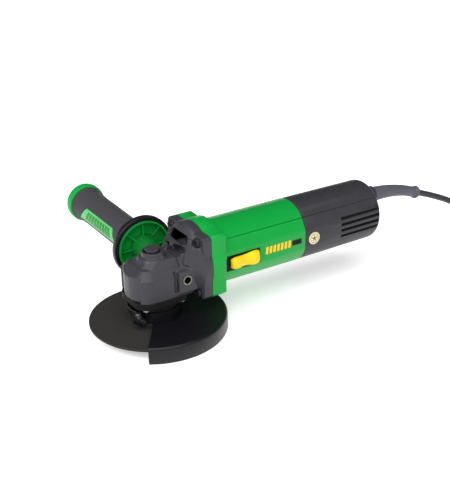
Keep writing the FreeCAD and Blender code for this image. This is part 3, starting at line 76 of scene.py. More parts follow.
@dataclass(frozen=True)
class Finish:
    """One finish of the tool: its colour and how it drifts, its gloss and its relief."""

    name: str
    colour: Point
    shade: Point
    patch: float = 14.0
    rough: float = 0.45
    rough_drift: float = 0.08
    metal: float = 0.0
    specular: float = 0.25
    glow: float = 0.0
    relief: Relief = Relief.GRAIN
    relief_size: float = 0.5
    relief_depth: float = 0.25
    axis: str = "Z"
    centre: Point = (0.0, 0.0, 0.0)

    def material(self) -> bpy.types.Material:
        """The finish as a material, made once.

        Returns:
            The material, with every pattern on Object coordinates.
        """
        label = f"finish_{self.name}"
        made = bpy.data.materials.get(label)
        if made:
            return made
        material = bpy.data.materials.new(label)
        material.use_nodes = True
        tree = material.node_tree
        shader = tree.nodes["Principled BSDF"]
        shader.inputs["Metallic"].default_value = self.metal
        shader.inputs["Specular IOR Level"].default_value = 0.5 if self.metal else self.specular
        shader.inputs["Emission Color"].default_value = (1.0, 1.0, 1.0, 1.0)
        shader.inputs["Emission Strength"].default_value = self.glow
        where = tree.nodes.new("ShaderNodeTexCoord")
        move = tree.nodes.new("ShaderNodeMapping")
        move.inputs["Location"].default_value = [-c * MM for c in self.centre]
        tree.links.new(where.outputs["Object"], move.inputs["Vector"])
        patches = self._noise(tree, move, self.patch, 3.0)
        self._drift(tree, shader, patches)
        height = self._height(tree, move)
        bump = tree.nodes.new("ShaderNodeBump")
        bump.inputs["Strength"].default_value = self.relief_depth
        bump.inputs["Distance"].default_value = self.relief_size * 0.3 * MM
        tree.links.new(height, bump.inputs["Height"])
        tree.links.new(bump.outputs["Normal"], shader.inputs["Normal"])
        return material

    def _noise(
        self, tree: bpy.types.NodeTree, move: bpy.types.Node, size: float, detail: float
    ) -> bpy.types.Node:
        """A noise whose lumps are about a size in millimetres.

        Args:
            tree: The material's nodes.
            move: The node that gives the coordinates.
            size: The size of one lump in millimetres.
            detail: How many finer layers it has.

        Returns:
            The noise node.
        """
        noise = tree.nodes.new("ShaderNodeTexNoise")
        noise.inputs["Scale"].default_value = 1.0 / (size * MM)
        noise.inputs["Detail"].default_value = detail
        tree.links.new(move.outputs["Vector"], noise.inputs["Vector"])
        return noise

    def _drift(self, tree: bpy.types.NodeTree, shader: bpy.types.Node, patches: bpy.types.Node) -> None:
        """Lets colour and roughness drift with the patches.

        Args:
            tree: The material's nodes.
            shader: The shader they lead to.
            patches: The noise that they follow.
        """
        mix = tree.nodes.new("ShaderNodeMix")
        mix.data_type = "RGBA"
        mix.inputs["A"].default_value = (*self.colour, 1.0)
        mix.inputs["B"].default_value = (*self.shade, 1.0)
        tree.links.new(patches.outputs["Fac"], mix.inputs["Factor"])
        tree.links.new(mix.outputs["Result"], shader.inputs["Base Color"])
        spread = tree.nodes.new("ShaderNodeMapRange")
        spread.inputs["To Min"].default_value = self.rough - self.rough_drift
        spread.inputs["To Max"].default_value = self.rough + self.rough_drift
        tree.links.new(patches.outputs["Fac"], spread.inputs["Value"])
        tree.links.new(spread.outputs["Result"], shader.inputs["Roughness"])

    def _height(self, tree: bpy.types.NodeTree, move: bpy.types.Node) -> bpy.types.NodeSocket:
        """The height that the relief's bump follows.

        Args:
            tree: The material's nodes.
            move: The node that gives the coordinates.

        Returns:
            The socket that holds the height.
        """
        if self.relief in (Relief.GRAIN, Relief.PEEL):
            detail = 2.0 if self.relief is Relief.GRAIN else 0.0
            return self._noise(tree, move, self.relief_size, detail).outputs["Fac"]
        if self.relief is Relief.GRIT:
            grains = tree.nodes.new("ShaderNodeTexVoronoi")
            grains.inputs["Scale"].default_value = 1.0 / (self.relief_size * MM)
            tree.links.new(move.outputs["Vector"], grains.inputs["Vector"])
            return grains.outputs["Distance"]
        ridges = tree.nodes.new("ShaderNodeTexWave")
        ridges.wave_type = "RINGS" if self.relief is Relief.RINGS else "BANDS"
        if self.relief is Relief.RINGS:
            ridges.rings_direction = self.axis
        else:
            ridges.bands_direction = "DIAGONAL" if self.relief is Relief.KNURL else self.axis
        ridges.inputs["Scale"].default_value = 0.314 / (self.relief_size * MM)
        ridges.inputs["Distortion"].default_value = 0.6
        ridges.inputs["Detail"].default_value = 1.0
        tree.links.new(move.outputs["Vector"], ridges.inputs["Vector"])
        return ridges.outputs["Fac"]


HOUSING_GREEN = Finish("housing_green", (0.003, 0.270, 0.036), (0.004, 0.305, 0.045), 22, 0.34, 0.04,
                       specular=0.18, relief_size=0.35, relief_depth=0.12)
CAST_GREY = Finish("cast_grey", (0.031, 0.030, 0.036), (0.041, 0.040, 0.047), 9, 0.36, 0.06,
                   relief=Relief.PEEL, relief_size=1.3, relief_depth=0.22)
COVER_GREY = Finish("cover_grey", (0.023, 0.022, 0.027), (0.032, 0.031, 0.037), 12, 0.42, 0.07,
                    relief_size=0.45, relief_depth=0.3)
GUARD_BLACK = Finish("guard_black", (0.003, 0.003, 0.0042), (0.005, 0.005, 0.007), 10, 0.34, 0.06,
                     relief=Relief.PEEL, relief_size=0.9, relief_depth=0.16)
DEEP_BLACK = Finish("deep_black", (0.003, 0.003, 0.0035), (0.006, 0.006, 0.0065), 8, 0.6, 0.08, specular=0.15,
                    relief_size=0.5)
LEVER_BLACK = Finish("lever_black", (0.006, 0.006, 0.008), (0.011, 0.011, 0.014), 6, 0.24, 0.05, specular=0.6,
                     relief=Relief.PEEL, relief_size=0.9, relief_depth=0.12)
ABRASIVE = Finish("abrasive", (0.014, 0.0125, 0.012), (0.030, 0.027, 0.025), 1.6, 0.85, 0.06,
                  relief=Relief.GRIT, relief_size=0.8, relief_depth=0.8)
TURNED_STEEL = Finish("turned_steel", (0.55, 0.55, 0.56), (0.42, 0.42, 0.44), 5, 0.3, 0.08, metal=1.0,
                      relief=Relief.RINGS, relief_size=0.35, relief_depth=0.25)
MOTOR_STEEL = Finish("motor_steel", (0.50, 0.50, 0.52), (0.38, 0.38, 0.40), 5, 0.32, 0.08, metal=1.0,
                     relief=Relief.RINGS, relief_size=0.4, relief_depth=0.25, axis="X",
                     centre=(0, 0, AXIS_UP))
PLAIN_STEEL = Finish("plain_steel", (0.48, 0.48, 0.50), (0.36, 0.36, 0.38), 3, 0.34, 0.08, metal=1.0,
                     relief_size=0.3, relief_depth=0.2)
THREAD_STEEL = Finish("thread_steel", (0.20, 0.19, 0.17), (0.12, 0.12, 0.11), 2, 0.32, 0.08, metal=1.0,
                      relief_size=0.4, relief_depth=0.3)
BLACK_STEEL = Finish("black_steel", (0.028, 0.028, 0.032), (0.045, 0.044, 0.048), 2, 0.36, 0.08, metal=0.6,
                     relief_size=0.4, relief_depth=0.2)
SHEETS = Finish("stacked_sheets", (0.22, 0.22, 0.23), (0.32, 0.31, 0.30), 4, 0.45, 0.08, metal=0.9,
                relief=Relief.BANDS, relief_size=0.5, relief_depth=0.6, axis="X")
COPPER = Finish("enamelled_copper", (0.55, 0.20, 0.08), (0.68, 0.30, 0.12), 2, 0.3, 0.08, metal=0.8,
                relief=Relief.BANDS, relief_size=0.8, relief_depth=0.8, axis="Z")
BRASS = Finish("pressed_brass", (0.62, 0.43, 0.16), (0.72, 0.52, 0.22), 3, 0.3, 0.08, metal=1.0,
               relief_size=0.4)
BARS = Finish("commutator_bars", (0.62, 0.30, 0.14), (0.70, 0.38, 0.20), 3, 0.28, 0.06, metal=1.0,
              relief=Relief.RINGS, relief_size=0.5, relief_depth=0.4, axis="X", centre=(0, 0, AXIS_UP))
CARBON = Finish("pressed_carbon", (0.012, 0.012, 0.013), (0.028, 0.028, 0.030), 1, 0.5, 0.1, relief_size=0.3)
FELT = Finish("pressed_felt", (0.42, 0.40, 0.35), (0.54, 0.51, 0.45), 1.5, 0.95, 0.04, relief_size=0.4,
              relief_depth=0.9)
KNOB_YELLOW = Finish("knob_yellow", (0.74, 0.48, 0.002), (0.80, 0.54, 0.003), 9, 0.32, 0.05,
                     relief_size=0.4, relief_depth=0.1)
CORD_BLACK = Finish("cord_rubber", (0.020, 0.020, 0.026), (0.032, 0.032, 0.040), 6, 0.45, 0.08,
                    relief_size=0.8, relief_depth=0.15)
BOOT_GREY = Finish("boot_rubber", (0.062, 0.062, 0.080), (0.082, 0.082, 0.104), 9, 0.42, 0.06,
                   relief_size=0.6, relief_depth=0.18)
GRIP_GREY = Finish("grip_rubber", (0.032, 0.030, 0.036), (0.058, 0.055, 0.064), 1.1, 0.62, 0.08,
                   relief=Relief.KNURL, relief_size=1.1, relief_depth=0.9)
RIM_BLACK = Finish("rim_rubber", (0.005, 0.005, 0.008), (0.009, 0.009, 0.013), 6, 0.4, 0.06, relief_size=0.6,
                   relief_depth=0.15)
# a darker copy of the handle's green plastic, painted shade on the dish; its lit rib fronts take the housing's
# green as painted highlight
DISH_SHADE_GREEN = Finish("handle_green", (0.001, 0.11, 0.013), (0.0015, 0.14, 0.018), 12, 0.38, 0.05,
                      relief_size=0.4, relief_depth=0.12)
LABEL_GREEN = Finish("label_green", (0.07, 0.42, 0.11), (0.09, 0.48, 0.13), 6, 0.4, 0.05, relief_size=0.4,
                     relief_depth=0.12)
LABEL_RAISED = Finish("label_raised", (0.002, 0.16, 0.012), (0.003, 0.20, 0.018), 3, 0.36, 0.05,
                      relief_size=0.4, relief_depth=0.12)
STRIPE_ORANGE = Finish("stripe_orange", (0.86, 0.42, 0.01), (0.90, 0.50, 0.02), 4, 0.4, 0.05, relief_size=0.3,
                       relief_depth=0.1)
FOIL_CREAM = Finish("badge_foil", (0.58, 0.52, 0.34), (0.68, 0.62, 0.44), 3, 0.3, 0.06, metal=0.35,
                    relief_size=0.5, relief_depth=0.1)
FOIL_GOLD = Finish("badge_print", (0.22, 0.12, 0.03), (0.32, 0.19, 0.05), 1.5, 0.32, 0.06, metal=0.5,
                   relief_size=0.4, relief_depth=0.2)
FLOOR_PALE = Finish("pale_floor", (0.86, 0.86, 0.86), (0.88, 0.88, 0.88), 300, 0.9, 0.02, glow=0.45,
                    relief_size=2.0, relief_depth=0.02)


# shaping


@dataclass(frozen=True)
class Line:
    """A line that turned pieces are spun about."""

    origin: Point
    along: Point
    out: Point

    def place(self, along: float, radius: float) -> Vector:
        """The point so far along the line and so far out of it, in metres."""
        spot = Vector(self.origin) + Vector(self.along) * along + Vector(self.out) * radius
        return spot * MM


SPINDLE = Line((0.0, 0.0, 0.0), (0.0, 0.0, 1.0), (1.0, 0.0, 0.0))
MOTOR = Line((0.0, 0.0, AXIS_UP), (1.0, 0.0, 0.0), (0.0, 0.0, 1.0))
HANDLE = Line((HANDLE_X, 0.0, HANDLE_UP), (0.0, 1.0, 0.0), (1.0, 0.0, 0.0))


def turned(
    line: Line, profile: Profile, steps: int = 96, start: float = 0.0, sweep: float = 360.0
) -> bmesh.types.BMesh:
    """A closed shape spun from a closed profile, or from one that begins and ends on the line.

    Args:
        line: The line that it is spun about.
        profile: Its corners as (along, radius) in millimetres.
        steps: Faces round the whole sweep.
        start: Where the sweep begins, in degrees from the line's outward direction.
        sweep: How far it goes, in degrees.

    Returns:
        The mesh, in metres.
    """
    shape = bmesh.new()
    corners = [shape.verts.new(line.place(*corner)) for corner in profile]
    pairs = list(zip(corners, corners[1:]))
    if profile[0][1] > 0 or profile[-1][1] > 0:
        pairs.append((corners[-1], corners[0]))
    edges = [shape.edges.new(pair) for pair in pairs]
    centre, axis = Vector(line.origin) * MM, Vector(line.along)
    bmesh.ops.rotate(shape, verts=corners, cent=centre, matrix=Matrix.Rotation(math.radians(start), 3, axis))
    whole = abs(sweep - 360.0) < 1e-6
    bmesh.ops.spin(
        shape, geom=corners + edges, cent=centre, axis=axis, angle=math.radians(sweep), steps=steps,
        use_merge=whole,
    )
    bmesh.ops.remove_doubles(shape, verts=shape.verts, dist=1e-7)
    bmesh.ops.dissolve_degenerate(shape, edges=shape.edges, dist=1e-7)
    if not whole:
        bmesh.ops.holes_fill(shape, edges=[e for e in shape.edges if e.is_boundary])
    bmesh.ops.recalc_face_normals(shape, faces=shape.faces)
    return shape


def rounded(
    shape: bmesh.types.BMesh, width: float, steepest: float = 25.0, segments: int = 3
) -> bmesh.types.BMesh:
    """Bevels the edges that turn by more than an angle.

    Args:
        shape: The mesh to work on.
        width: The bevel's width in millimetres.
        steepest: The turn in degrees above which an edge is bevelled.
        segments: Faces across each bevel.

    Returns:
        The same mesh.
    """
    limit = math.radians(steepest)
    edges = [e for e in shape.edges if len(e.link_faces) == 2 and e.calc_face_angle(0.0) > limit]
    bmesh.ops.bevel(
        shape, geom=edges, offset=width * MM, segments=segments, profile=0.5, affect="EDGES",
        clamp_overlap=True, material=-1,
    )
    return shape


def block(low: Point, high: Point) -> bmesh.types.BMesh:
    """A box between two corners.

    Args:
        low: Its lowest corner in millimetres.
        high: Its highest corner in millimetres.

    Returns:
        The mesh, in metres.
    """
    shape = bmesh.new()
    bmesh.ops.create_cube(shape, size=1.0)
    size = [(h - l) * MM for l, h in zip(low, high)]
    middle = [(h + l) / 2 * MM for l, h in zip(low, high)]
    bmesh.ops.scale(shape, vec=size, verts=shape.verts)
    bmesh.ops.translate(shape, vec=middle, verts=shape.verts)
    return shape


def hull(points: list[Point]) -> bmesh.types.BMesh:
    """The smallest bulging shape round some points.

    Args:
        points: The points in millimetres.

    Returns:
        The mesh, in metres.
    """
    shape = bmesh.new()
    for point in points:
        shape.verts.new(Vector(point) * MM)
    bmesh.ops.convex_hull(shape, input=shape.verts)
    bmesh.ops.dissolve_limit(shape, angle_limit=0.01, verts=shape.verts, edges=shape.edges)
    bmesh.ops.recalc_face_normals(shape, faces=shape.faces)
    return shape


def sheet(columns: int, rows: int, place: Callable[[float, float], Vector]) -> bmesh.types.BMesh:
    """An open grid of faces, each corner placed by its two shares.

    Args:
        columns: Faces across.
        rows: Faces along.
        place: Gives a corner's place in metres from its shares across and along, from 0 to 1.

    Returns:
        The mesh.
    """
    shape = bmesh.new()
    bmesh.ops.create_grid(shape, x_segments=columns, y_segments=rows, size=1.0)
    for vert in shape.verts:
        vert.co = place((vert.co.x + 1.0) / 2.0, (vert.co.y + 1.0) / 2.0)
    return shape


def joined(*shapes: bmesh.types.BMesh) -> bmesh.types.BMesh:
    """One mesh that holds several.

    Args:
        shapes: The meshes, which are freed.

    Returns:
        The new mesh.
    """
    whole = bmesh.new()
    for shape in shapes:
        part = bpy.data.meshes.new("part")
        shape.to_mesh(part)
        shape.free()
        whole.from_mesh(part)
        bpy.data.meshes.remove(part)
    return whole


def from_node(node: str) -> bmesh.types.BMesh:
    """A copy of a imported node's mesh, its loose triangles merged and its flat faces made whole.

    Args:
        node: The node's name.

    Returns:
        The copy.
    """
    shape = bmesh.new()
    shape.from_mesh(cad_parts[node].data)
    bmesh.ops.remove_doubles(shape, verts=shape.verts, dist=1e-6)
    bmesh.ops.dissolve_limit(shape, angle_limit=math.radians(0.6), verts=shape.verts, edges=shape.edges)
    return shape


def placed(name: str, data: bpy.types.ID) -> bpy.types.Object:
    """Adds an object to the scene.

    Args:
        name: The object's name.
        data: Its mesh, curve, light or camera.

    Returns:
        The object.
    """
    thing = bpy.data.objects.new(name, data)
    bpy.context.scene.collection.objects.link(thing)
    return thing


def bridged(shape: bmesh.types.BMesh, rings: list[list[bmesh.types.BMVert]]) -> bmesh.types.BMesh:
    """Joins rings of vertices into one closed skin.

    Args:
        shape: The mesh that holds the rings.
        rings: The vertices of each ring, in order along the skin.

    Returns:
        The same mesh.
    """
    loops = []
    for ring in rings:
        verts = set(ring)
        loops.append([e for e in shape.edges if e.verts[0] in verts and e.verts[1] in verts])
    for near, far in zip(loops, loops[1:]):
        bmesh.ops.bridge_loops(shape, edges=near + far)
    bmesh.ops.holes_fill(shape, edges=[e for e in shape.edges if e.is_boundary])
    bmesh.ops.recalc_face_normals(shape, faces=shape.faces)
    return shape


def carved(shape: bmesh.types.BMesh, *cutters: bmesh.types.BMesh) -> bmesh.types.BMesh:
    """Cuts closed shapes out of a mesh.

    Args:
        shape: The closed mesh to cut. It is freed, as the cutters are.
        cutters: What is taken away.

    Returns:
        A new mesh.
    """
    things = []
    for part in (shape, *cutters):
        mesh = bpy.data.meshes.new("carving")
        part.to_mesh(mesh)
        part.free()
        things.append(placed("carving", mesh))
    for cutter in things[1:]:
        cut = things[0].modifiers.new("cut", "BOOLEAN")
        cut.operation = "DIFFERENCE"
        cut.solver = "EXACT"
        cut.object = cutter
    left = bpy.data.meshes.new_from_object(things[0].evaluated_get(bpy.context.evaluated_depsgraph_get()))
    for thing in things:
        bpy.data.objects.remove(thing)
    result = bmesh.new()
    result.from_mesh(left)
    return result


def softened(shape: bmesh.types.BMesh, grain: float, rounds: int) -> bmesh.types.BMesh:
    """Joins a mesh's parts into one even skin and smooths it, as casting does.

    Args:
        shape: The mesh, whose closed parts may pass through each other.
        grain: The size of the skin's faces in millimetres.
        rounds: How often each vertex moves towards its neighbours.

    Returns:
        A new mesh.
    """
    mesh = bpy.data.meshes.new("skin")
    shape.to_mesh(mesh)
    shape.free()
    rough = placed("skin", mesh)
    remesh = rough.modifiers.new("skin", "REMESH")
    remesh.mode = "VOXEL"
    remesh.voxel_size = grain * MM
    even = bpy.data.meshes.new_from_object(rough.evaluated_get(bpy.context.evaluated_depsgraph_get()))
    bpy.data.objects.remove(rough)
    skin = bmesh.new()
    skin.from_mesh(even)
    for _ in range(rounds):
        bmesh.ops.smooth_vert(
            skin, verts=skin.verts, factor=0.5, use_axis_x=True, use_axis_y=True, use_axis_z=True
        )
    return skin


def finished(
    shape: bmesh.types.BMesh,
    name: str,
    body: str,
    finish: Finish,
    stands_for: tuple[str, ...] = (),
    smooth: float = 32.0,
) -> bpy.types.Object:
    """Makes a mesh a piece of the tool.

    Args:
        shape: The mesh, in place and in metres. It is freed.
        name: The piece's name.
        body: The body that it rides on.
        finish: Its finish.
        stands_for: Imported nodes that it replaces.
        smooth: The turn in degrees above which an edge stays sharp.

    Returns:
        The object.
    """
    mesh = bpy.data.meshes.new(name)
    shape.to_mesh(mesh)
    shape.free()
    mesh.shade_smooth()
    mesh.set_sharp_from_angle(angle=math.radians(smooth))
    piece = placed(name, mesh)
    mesh.materials.append(finish.material())
    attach(piece, body)
    if stands_for:
        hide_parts(*stands_for)
    log.info("%s: %d faces", name, len(mesh.polygons))
    return piece


def dress(node: str, finish: Finish) -> None:
    """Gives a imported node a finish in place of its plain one.

    Args:
        node: The node's name.
        finish: Its finish.
    """
    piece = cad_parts[node]
    piece.data.materials.clear()
    piece.data.materials.append(finish.material())


# supply cord, its boot and its plug


@dataclass
class SupplyCord:
    """The free cord from its boot to its plug, with the length that isn't needed wound up."""

    radius: float = 3.3
    real_length: float = 1.8
    coil_centre: tuple[float, float] = (445.0, -38.0)
    points_a_turn: int = 16
    route: tuple[Point, ...] = (
        (318.0, 0.0, 62.0),
        (333.0, 0.0, 56.2),
        (350.0, 0.5, 48.9),
        (369.0, 0.9, 39.9),
        (386.0, 0.7, 28.6),
        (400.0, -0.2, 16.2),
        (412.0, -1.0, 7.0),
        (426.0, -1.7, 2.9),
    )
    # each turn of the coil as (radius, height), in the order that the cord is wound
    turns: tuple[tuple[float, float], ...] = (
        (36.3, 2.3), (29.7, 2.3), (33.0, 8.0), (29.7, 13.7),
        (36.3, 13.7), (39.6, 8.0), (43.0, 2.3), (43.0, 13.7),
    )
    # the last control points before the top turn, where the cord climbs over its own way in
    climb: tuple[tuple[float, float], ...] = ((43.2, 2.8), (45.2, 6.4), (46.0, 10.4))
    leaves_at: float = 12.0
    tail: tuple[Point, ...] = (
        (486.6, -52.0, 13.2), (483.6, -66.0, 12.7), (481.6, -80.0, 12.4), (481.3, -96.0, 12.4)
    )
    # the boot's middle line and radius, as (along the motor, height, radius)
    boot_stations: tuple[Point, ...] = (
        (244.0, 73.9, 6.05),
        (255.9, 73.9, 6.05),
        (256.2, 73.9, 7.7),
        (264.0, 73.7, 7.3),
        (272.0, 73.2, 6.9),
        (280.0, 72.3, 6.5),
        (288.0, 71.0, 6.15),
        (295.0, 69.4, 5.9),
        (302.0, 67.5, 5.7),
        (308.0, 65.4, 5.6),
        (313.6, 63.5, 5.55),
    )
    # the bead round the boot's end, as (how far beyond the last station, radius)
    bead: tuple[tuple[float, float], ...] = (
        (0.3, 5.9), (0.8, 6.5), (1.6, 6.8), (2.9, 6.8), (3.7, 6.5), (4.2, 5.8)
    )
    boot_end: Point = (317.8, 0.0, 62.07)
    boot_mouth: float = 3.35
    # the plug's body, as (how far along, half width, half height)
    plug_sections: tuple[Point, ...] = (
        (0.0, 4.3, 4.3), (6.0, 5.2, 5.2), (12.0, 6.2, 6.0), (18.0, 7.4, 7.0), (22.0, 9.6, 8.6),
        (26.0, 14.2, 11.4), (31.0, 16.8, 12.8), (38.0, 17.6, 13.2), (46.0, 17.4, 13.1),
        (50.4, 16.6, 12.6), (52.0, 15.2, 11.4),
    )
    # the ribs round the plug's neck, as (how far along, radius)
    collars: tuple[tuple[float, float], ...] = ((3.0, 5.6), (7.5, 6.3), (12.0, 7.1), (16.5, 8.1))
    plug_middle: Point = (481.3, -94.3, 12.4)

    def coil(self) -> list[Point]:
        """Winds the turns clockwise from the side that the cord comes in.

        Returns:
            The control points of the turns.
        """
        points = []
        count = self.points_a_turn
        # a smooth curve runs this much inside its control points
        swell = 8.0 / (6.0 + 2.0 * math.cos(math.tau / count))
        last = self.turns[0]
        for number, turn in enumerate(self.turns):
            over = number == len(self.turns) - 2
            for step in range(count):
                degrees = 90.0 - 360.0 * step / count
                if number == len(self.turns) - 1 and degrees < self.leaves_at:
                    return points
                blend = min((step + 1) / 4, 1.0)
                radius = last[0] + (turn[0] - last[0]) * blend
                height = last[1] + (turn[1] - last[1]) * blend
                if over and step >= count - len(self.climb):
                    radius, height = self.climb[step - count]
                reach = radius * swell
                x = self.coil_centre[0] + reach * math.cos(math.radians(degrees))
                y = self.coil_centre[1] + reach * math.sin(math.radians(degrees))
                points.append((x, y, height))
            last = self.climb[-1] if over else turn
        return points

    def lay_cord(self, plug: list[bpy.types.Object]) -> bpy.types.Object:
        """Lays the whole cord as one smooth curve.

        Args:
            plug: The pieces at its far end; not used.

        Returns:
            The curve object.
        """
        curve = bpy.data.curves.new("supply_cord", "CURVE")
        curve.dimensions = "3D"
        curve.bevel_depth = self.radius * MM
        curve.bevel_resolution = 5
        curve.use_fill_caps = True
        curve.resolution_u = 6
        spline = curve.splines.new("NURBS")
        points = [*self.route, *self.coil(), *self.tail]
        spline.points.add(len(points) - 1)
        for knot, (x, y, z) in zip(spline.points, points):
            knot.co = (x * MM, y * MM, z * MM, 1.0)
        spline.order_u = 3
        spline.use_endpoint_u = True
        cord = placed("supply_cord", curve)
        curve.materials.append(CORD_BLACK.material())
        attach(cord, "housing")
        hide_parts("cord_tube", "cord_coil", "cord_tail")
        [c * MM for c in self.route[0]]
        return cord

    def mould_boot(self) -> bpy.types.Object:
        """Moulds the tapering boot along its own bend, with the bead round its end.

        Returns:
            The boot.
        """
        shape = bmesh.new()
        stations = [(Vector((x, 0.0, z)), radius) for x, z, radius in self.boot_stations]
        lead = (Vector(self.route[1]) - Vector(self.route[0])).normalized()
        neck = stations[-1][0]
        for reach, radius in self.bead:
            stations.append((neck + lead * reach, radius))
        stations.append((Vector(self.boot_end), self.boot_mouth))
        rings = []
        for number, (centre, radius) in enumerate(stations):
            before = stations[max(number - 1, 0)][0]
            after = stations[min(number + 1, len(stations) - 1)][0]
            turn = (after - before).to_track_quat("Z", "Y").to_matrix().to_4x4()
            place = Matrix.Translation(centre * MM) @ turn
            made = bmesh.ops.create_circle(
                shape, cap_ends=False, segments=32, radius=radius * MM, matrix=place
            )
            rings.append(made["verts"])
        boot = bridged(shape, rings)
        return finished(boot, "tapered_boot", "housing", BOOT_GREY, ("cord_boot",))

    def mould_plug(self) -> list[bpy.types.Object]:
        """Moulds the plug's body with its finger ribs, and dresses its pins.

        Returns:
            The body and the pins.
        """
        x, y, z = self.plug_middle
        body = bmesh.new()
        upright = Matrix.Rotation(math.radians(90), 4, "X")
        rings = []
        for along, wide, high in self.plug_sections:
            centre = Vector((x, y - along, z)) * MM
            made = bmesh.ops.create_circle(
                body, cap_ends=False, segments=40, radius=1.0, matrix=Matrix.Translation(centre) @ upright
            )
            for vert in made["verts"]:
                around = vert.co - centre
                squareness = 0.62 if along > 20 else 1.0
                for axis, half in ((0, wide), (2, high)):
                    share = around[axis]
                    around[axis] = math.copysign(abs(share) ** squareness, share) * half * MM
                vert.co = centre + Vector((around.x, 0.0, around.z))
            rings.append(made["verts"])
        bridged(body, rings)
        collars = []
        line = Line((x, y, z), (0.0, -1.0, 0.0), (1.0, 0.0, 0.0))
        for along, radius in self.collars:
            near, far = along - 1.2, along + 1.2
            ring = [(near, 3.6), (near, radius), (far, radius + 0.3), (far, 3.6)]
            collars.append(rounded(turned(line, ring, 32), 0.4))
        ribs = []
        for side in (-1, 1):
            for step in range(4):
                along = y - 31.0 - 4.2 * step
                ribs.append(rounded(block((x + side * 16.4 - 1.1, along - 1.0, z - 7.5),
                                          (x + side * 16.4 + 1.1, along + 1.0, z + 7.5)), 0.5))
        plug = finished(joined(body, *collars, *ribs), "moulded_plug", "housing", CORD_BLACK,
                        ("plug_body",))
        dress("plug_pins", BRASS)
        return [plug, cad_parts["plug_pins"]]

    def build(self) -> None:
        """Makes the boot, the plug and the cord between them."""
        self.mould_boot()
        self.lay_cord(self.mould_plug())


# gear head


@dataclass
class GearHead:
    """The cast gear head, the cover under it, its screws and the spindle lock."""

    skin_grain: float = 0.62
    skin_rounds: int = 6

    def through_cone(
        self, points: tuple[Point, ...], inwards: float = 7.0, outwards: float = 4.0
    ) -> bmesh.types.BMesh:
        """A plug through the wall of the cone behind the neck.

        Args:
            points: The plug's outline on the cone.
            inwards: How far it reaches into the cone, in millimetres.
            outwards: How far it reaches out of it.

        Returns:
            The plug.
        """
        ends = []
        for x, y, z in points:
            out = Vector((0.0, y, z - AXIS_UP)).normalized() * 0.76 + Vector((-0.65, 0.0, 0.0))
            for reach in (-inwards, outwards):
                ends.append(Vector((x, y, z)) + out * reach)
        return hull([tuple(end) for end in ends])

    def cast_housing(self) -> None:
        """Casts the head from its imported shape, with the casting's platform, struts, windows and grooves."""
        strut = ((31.5, -20.0, 87.6), (29.6, -15.6, 88.4), (23.8, -23.4, 66.8), (20.4, -19.8, 66.8))
        platform = [(-10.5, 7.5), (-3.5, 13.0), (17.0, 13.0)]
        foot = [(-18.5, 10.0), (-12.5, 17.5), (17.0, 19.5)]
        extras = [
            hull([(x, s * y, 73.6) for x, y in platform for s in (-1, 1)]
                 + [(x, s * y, 67.2) for x, y in foot for s in (-1, 1)]),
        ]
        for side in (-1, 1):
            extras.append(self.through_cone(tuple((x, -side * y, z) for x, y, z in strut), 2.5, 1.8))
        nose = [(30.0, 27.7), (30.0, 45.0), (66.5, 45.0), (66.5, 27.7)]
        neck = [(74.4, 10.4), (74.4, 15.5), (81.5, 15.5), (81.5, 10.4)]
        windows = (
            ((31.2, 25.0, 82.4), (30.8, 16.9, 89.0), (29.3, -6.3, 90.6), (30.1, -12.4, 89.8),
             (27.3, -16.4, 84.0), (24.0, -11.4, 82.9), (23.7, 6.7, 84.6)),
            ((20.6, -1.0, 81.2), (25.6, -16.6, 81.2), (23.2, -17.4, 76.4), (18.6, -5.3, 77.2)),
            ((20.3, 13.8, 75.9), (20.8, 12.0, 79.6), (19.8, 3.5, 80.4), (17.9, 1.6, 77.4)),
        )
        cutters = [turned(SPINDLE, nose, 40, 139.0, 79.0), turned(SPINDLE, neck, 40, 70.0, 220.0)]
        cutters.extend(self.through_cone(window) for window in windows)
        for side in (-1, 1):
            low, high = sorted((side * 21.9, side * 30.0))
            cutters.append(block((8.6, low, 43.0), (12.4, high, 64.6)))
        body = joined(carved(from_node("gearbox_housing"), *cutters), *extras)
        skin = softened(body, self.skin_grain, self.skin_rounds)
        finished(skin, "cast_head", "housing", CAST_GREY, ("gearbox_housing",), smooth=70.0)
        # a thin dark disc behind the head's windows, painted shade that stands in for the dark inside seen
        # through them
        screen = turned(MOTOR, [(42.4, 5.3), (42.4, 30.5), (42.9, 30.5), (42.9, 5.3)], 48)
        finished(screen, "head_painted_shade_disc", "housing", DEEP_BLACK)

    def fit_details(self) -> None:
        """Dresses the screws, inserts, cover and lock."""
        dress("gearbox_screws", BLACK_STEEL)
        dress("handle_inserts", THREAD_STEEL)
        dress("bearing_cover", DEEP_BLACK)
        dress("bearing_cover_screws", PLAIN_STEEL)
        dress("spindle_bearing", TURNED_STEEL)
        dress("spindle_bush", BRASS)
        dress("dust_seal", FELT)
        dress("lock_tongue", PLAIN_STEEL)
        dress("lock_spring", PLAIN_STEEL)
        button = rounded(from_node("lock_button"), 0.35, 30.0, 2)
        finished(button, "lock_push_button", "spindle_lock", CAST_GREY, ("lock_button",))

    def build(self) -> None:
        """Makes the head and what is fitted to it."""
        self.cast_housing()
        self.fit_details()


# spindle, disc and guard


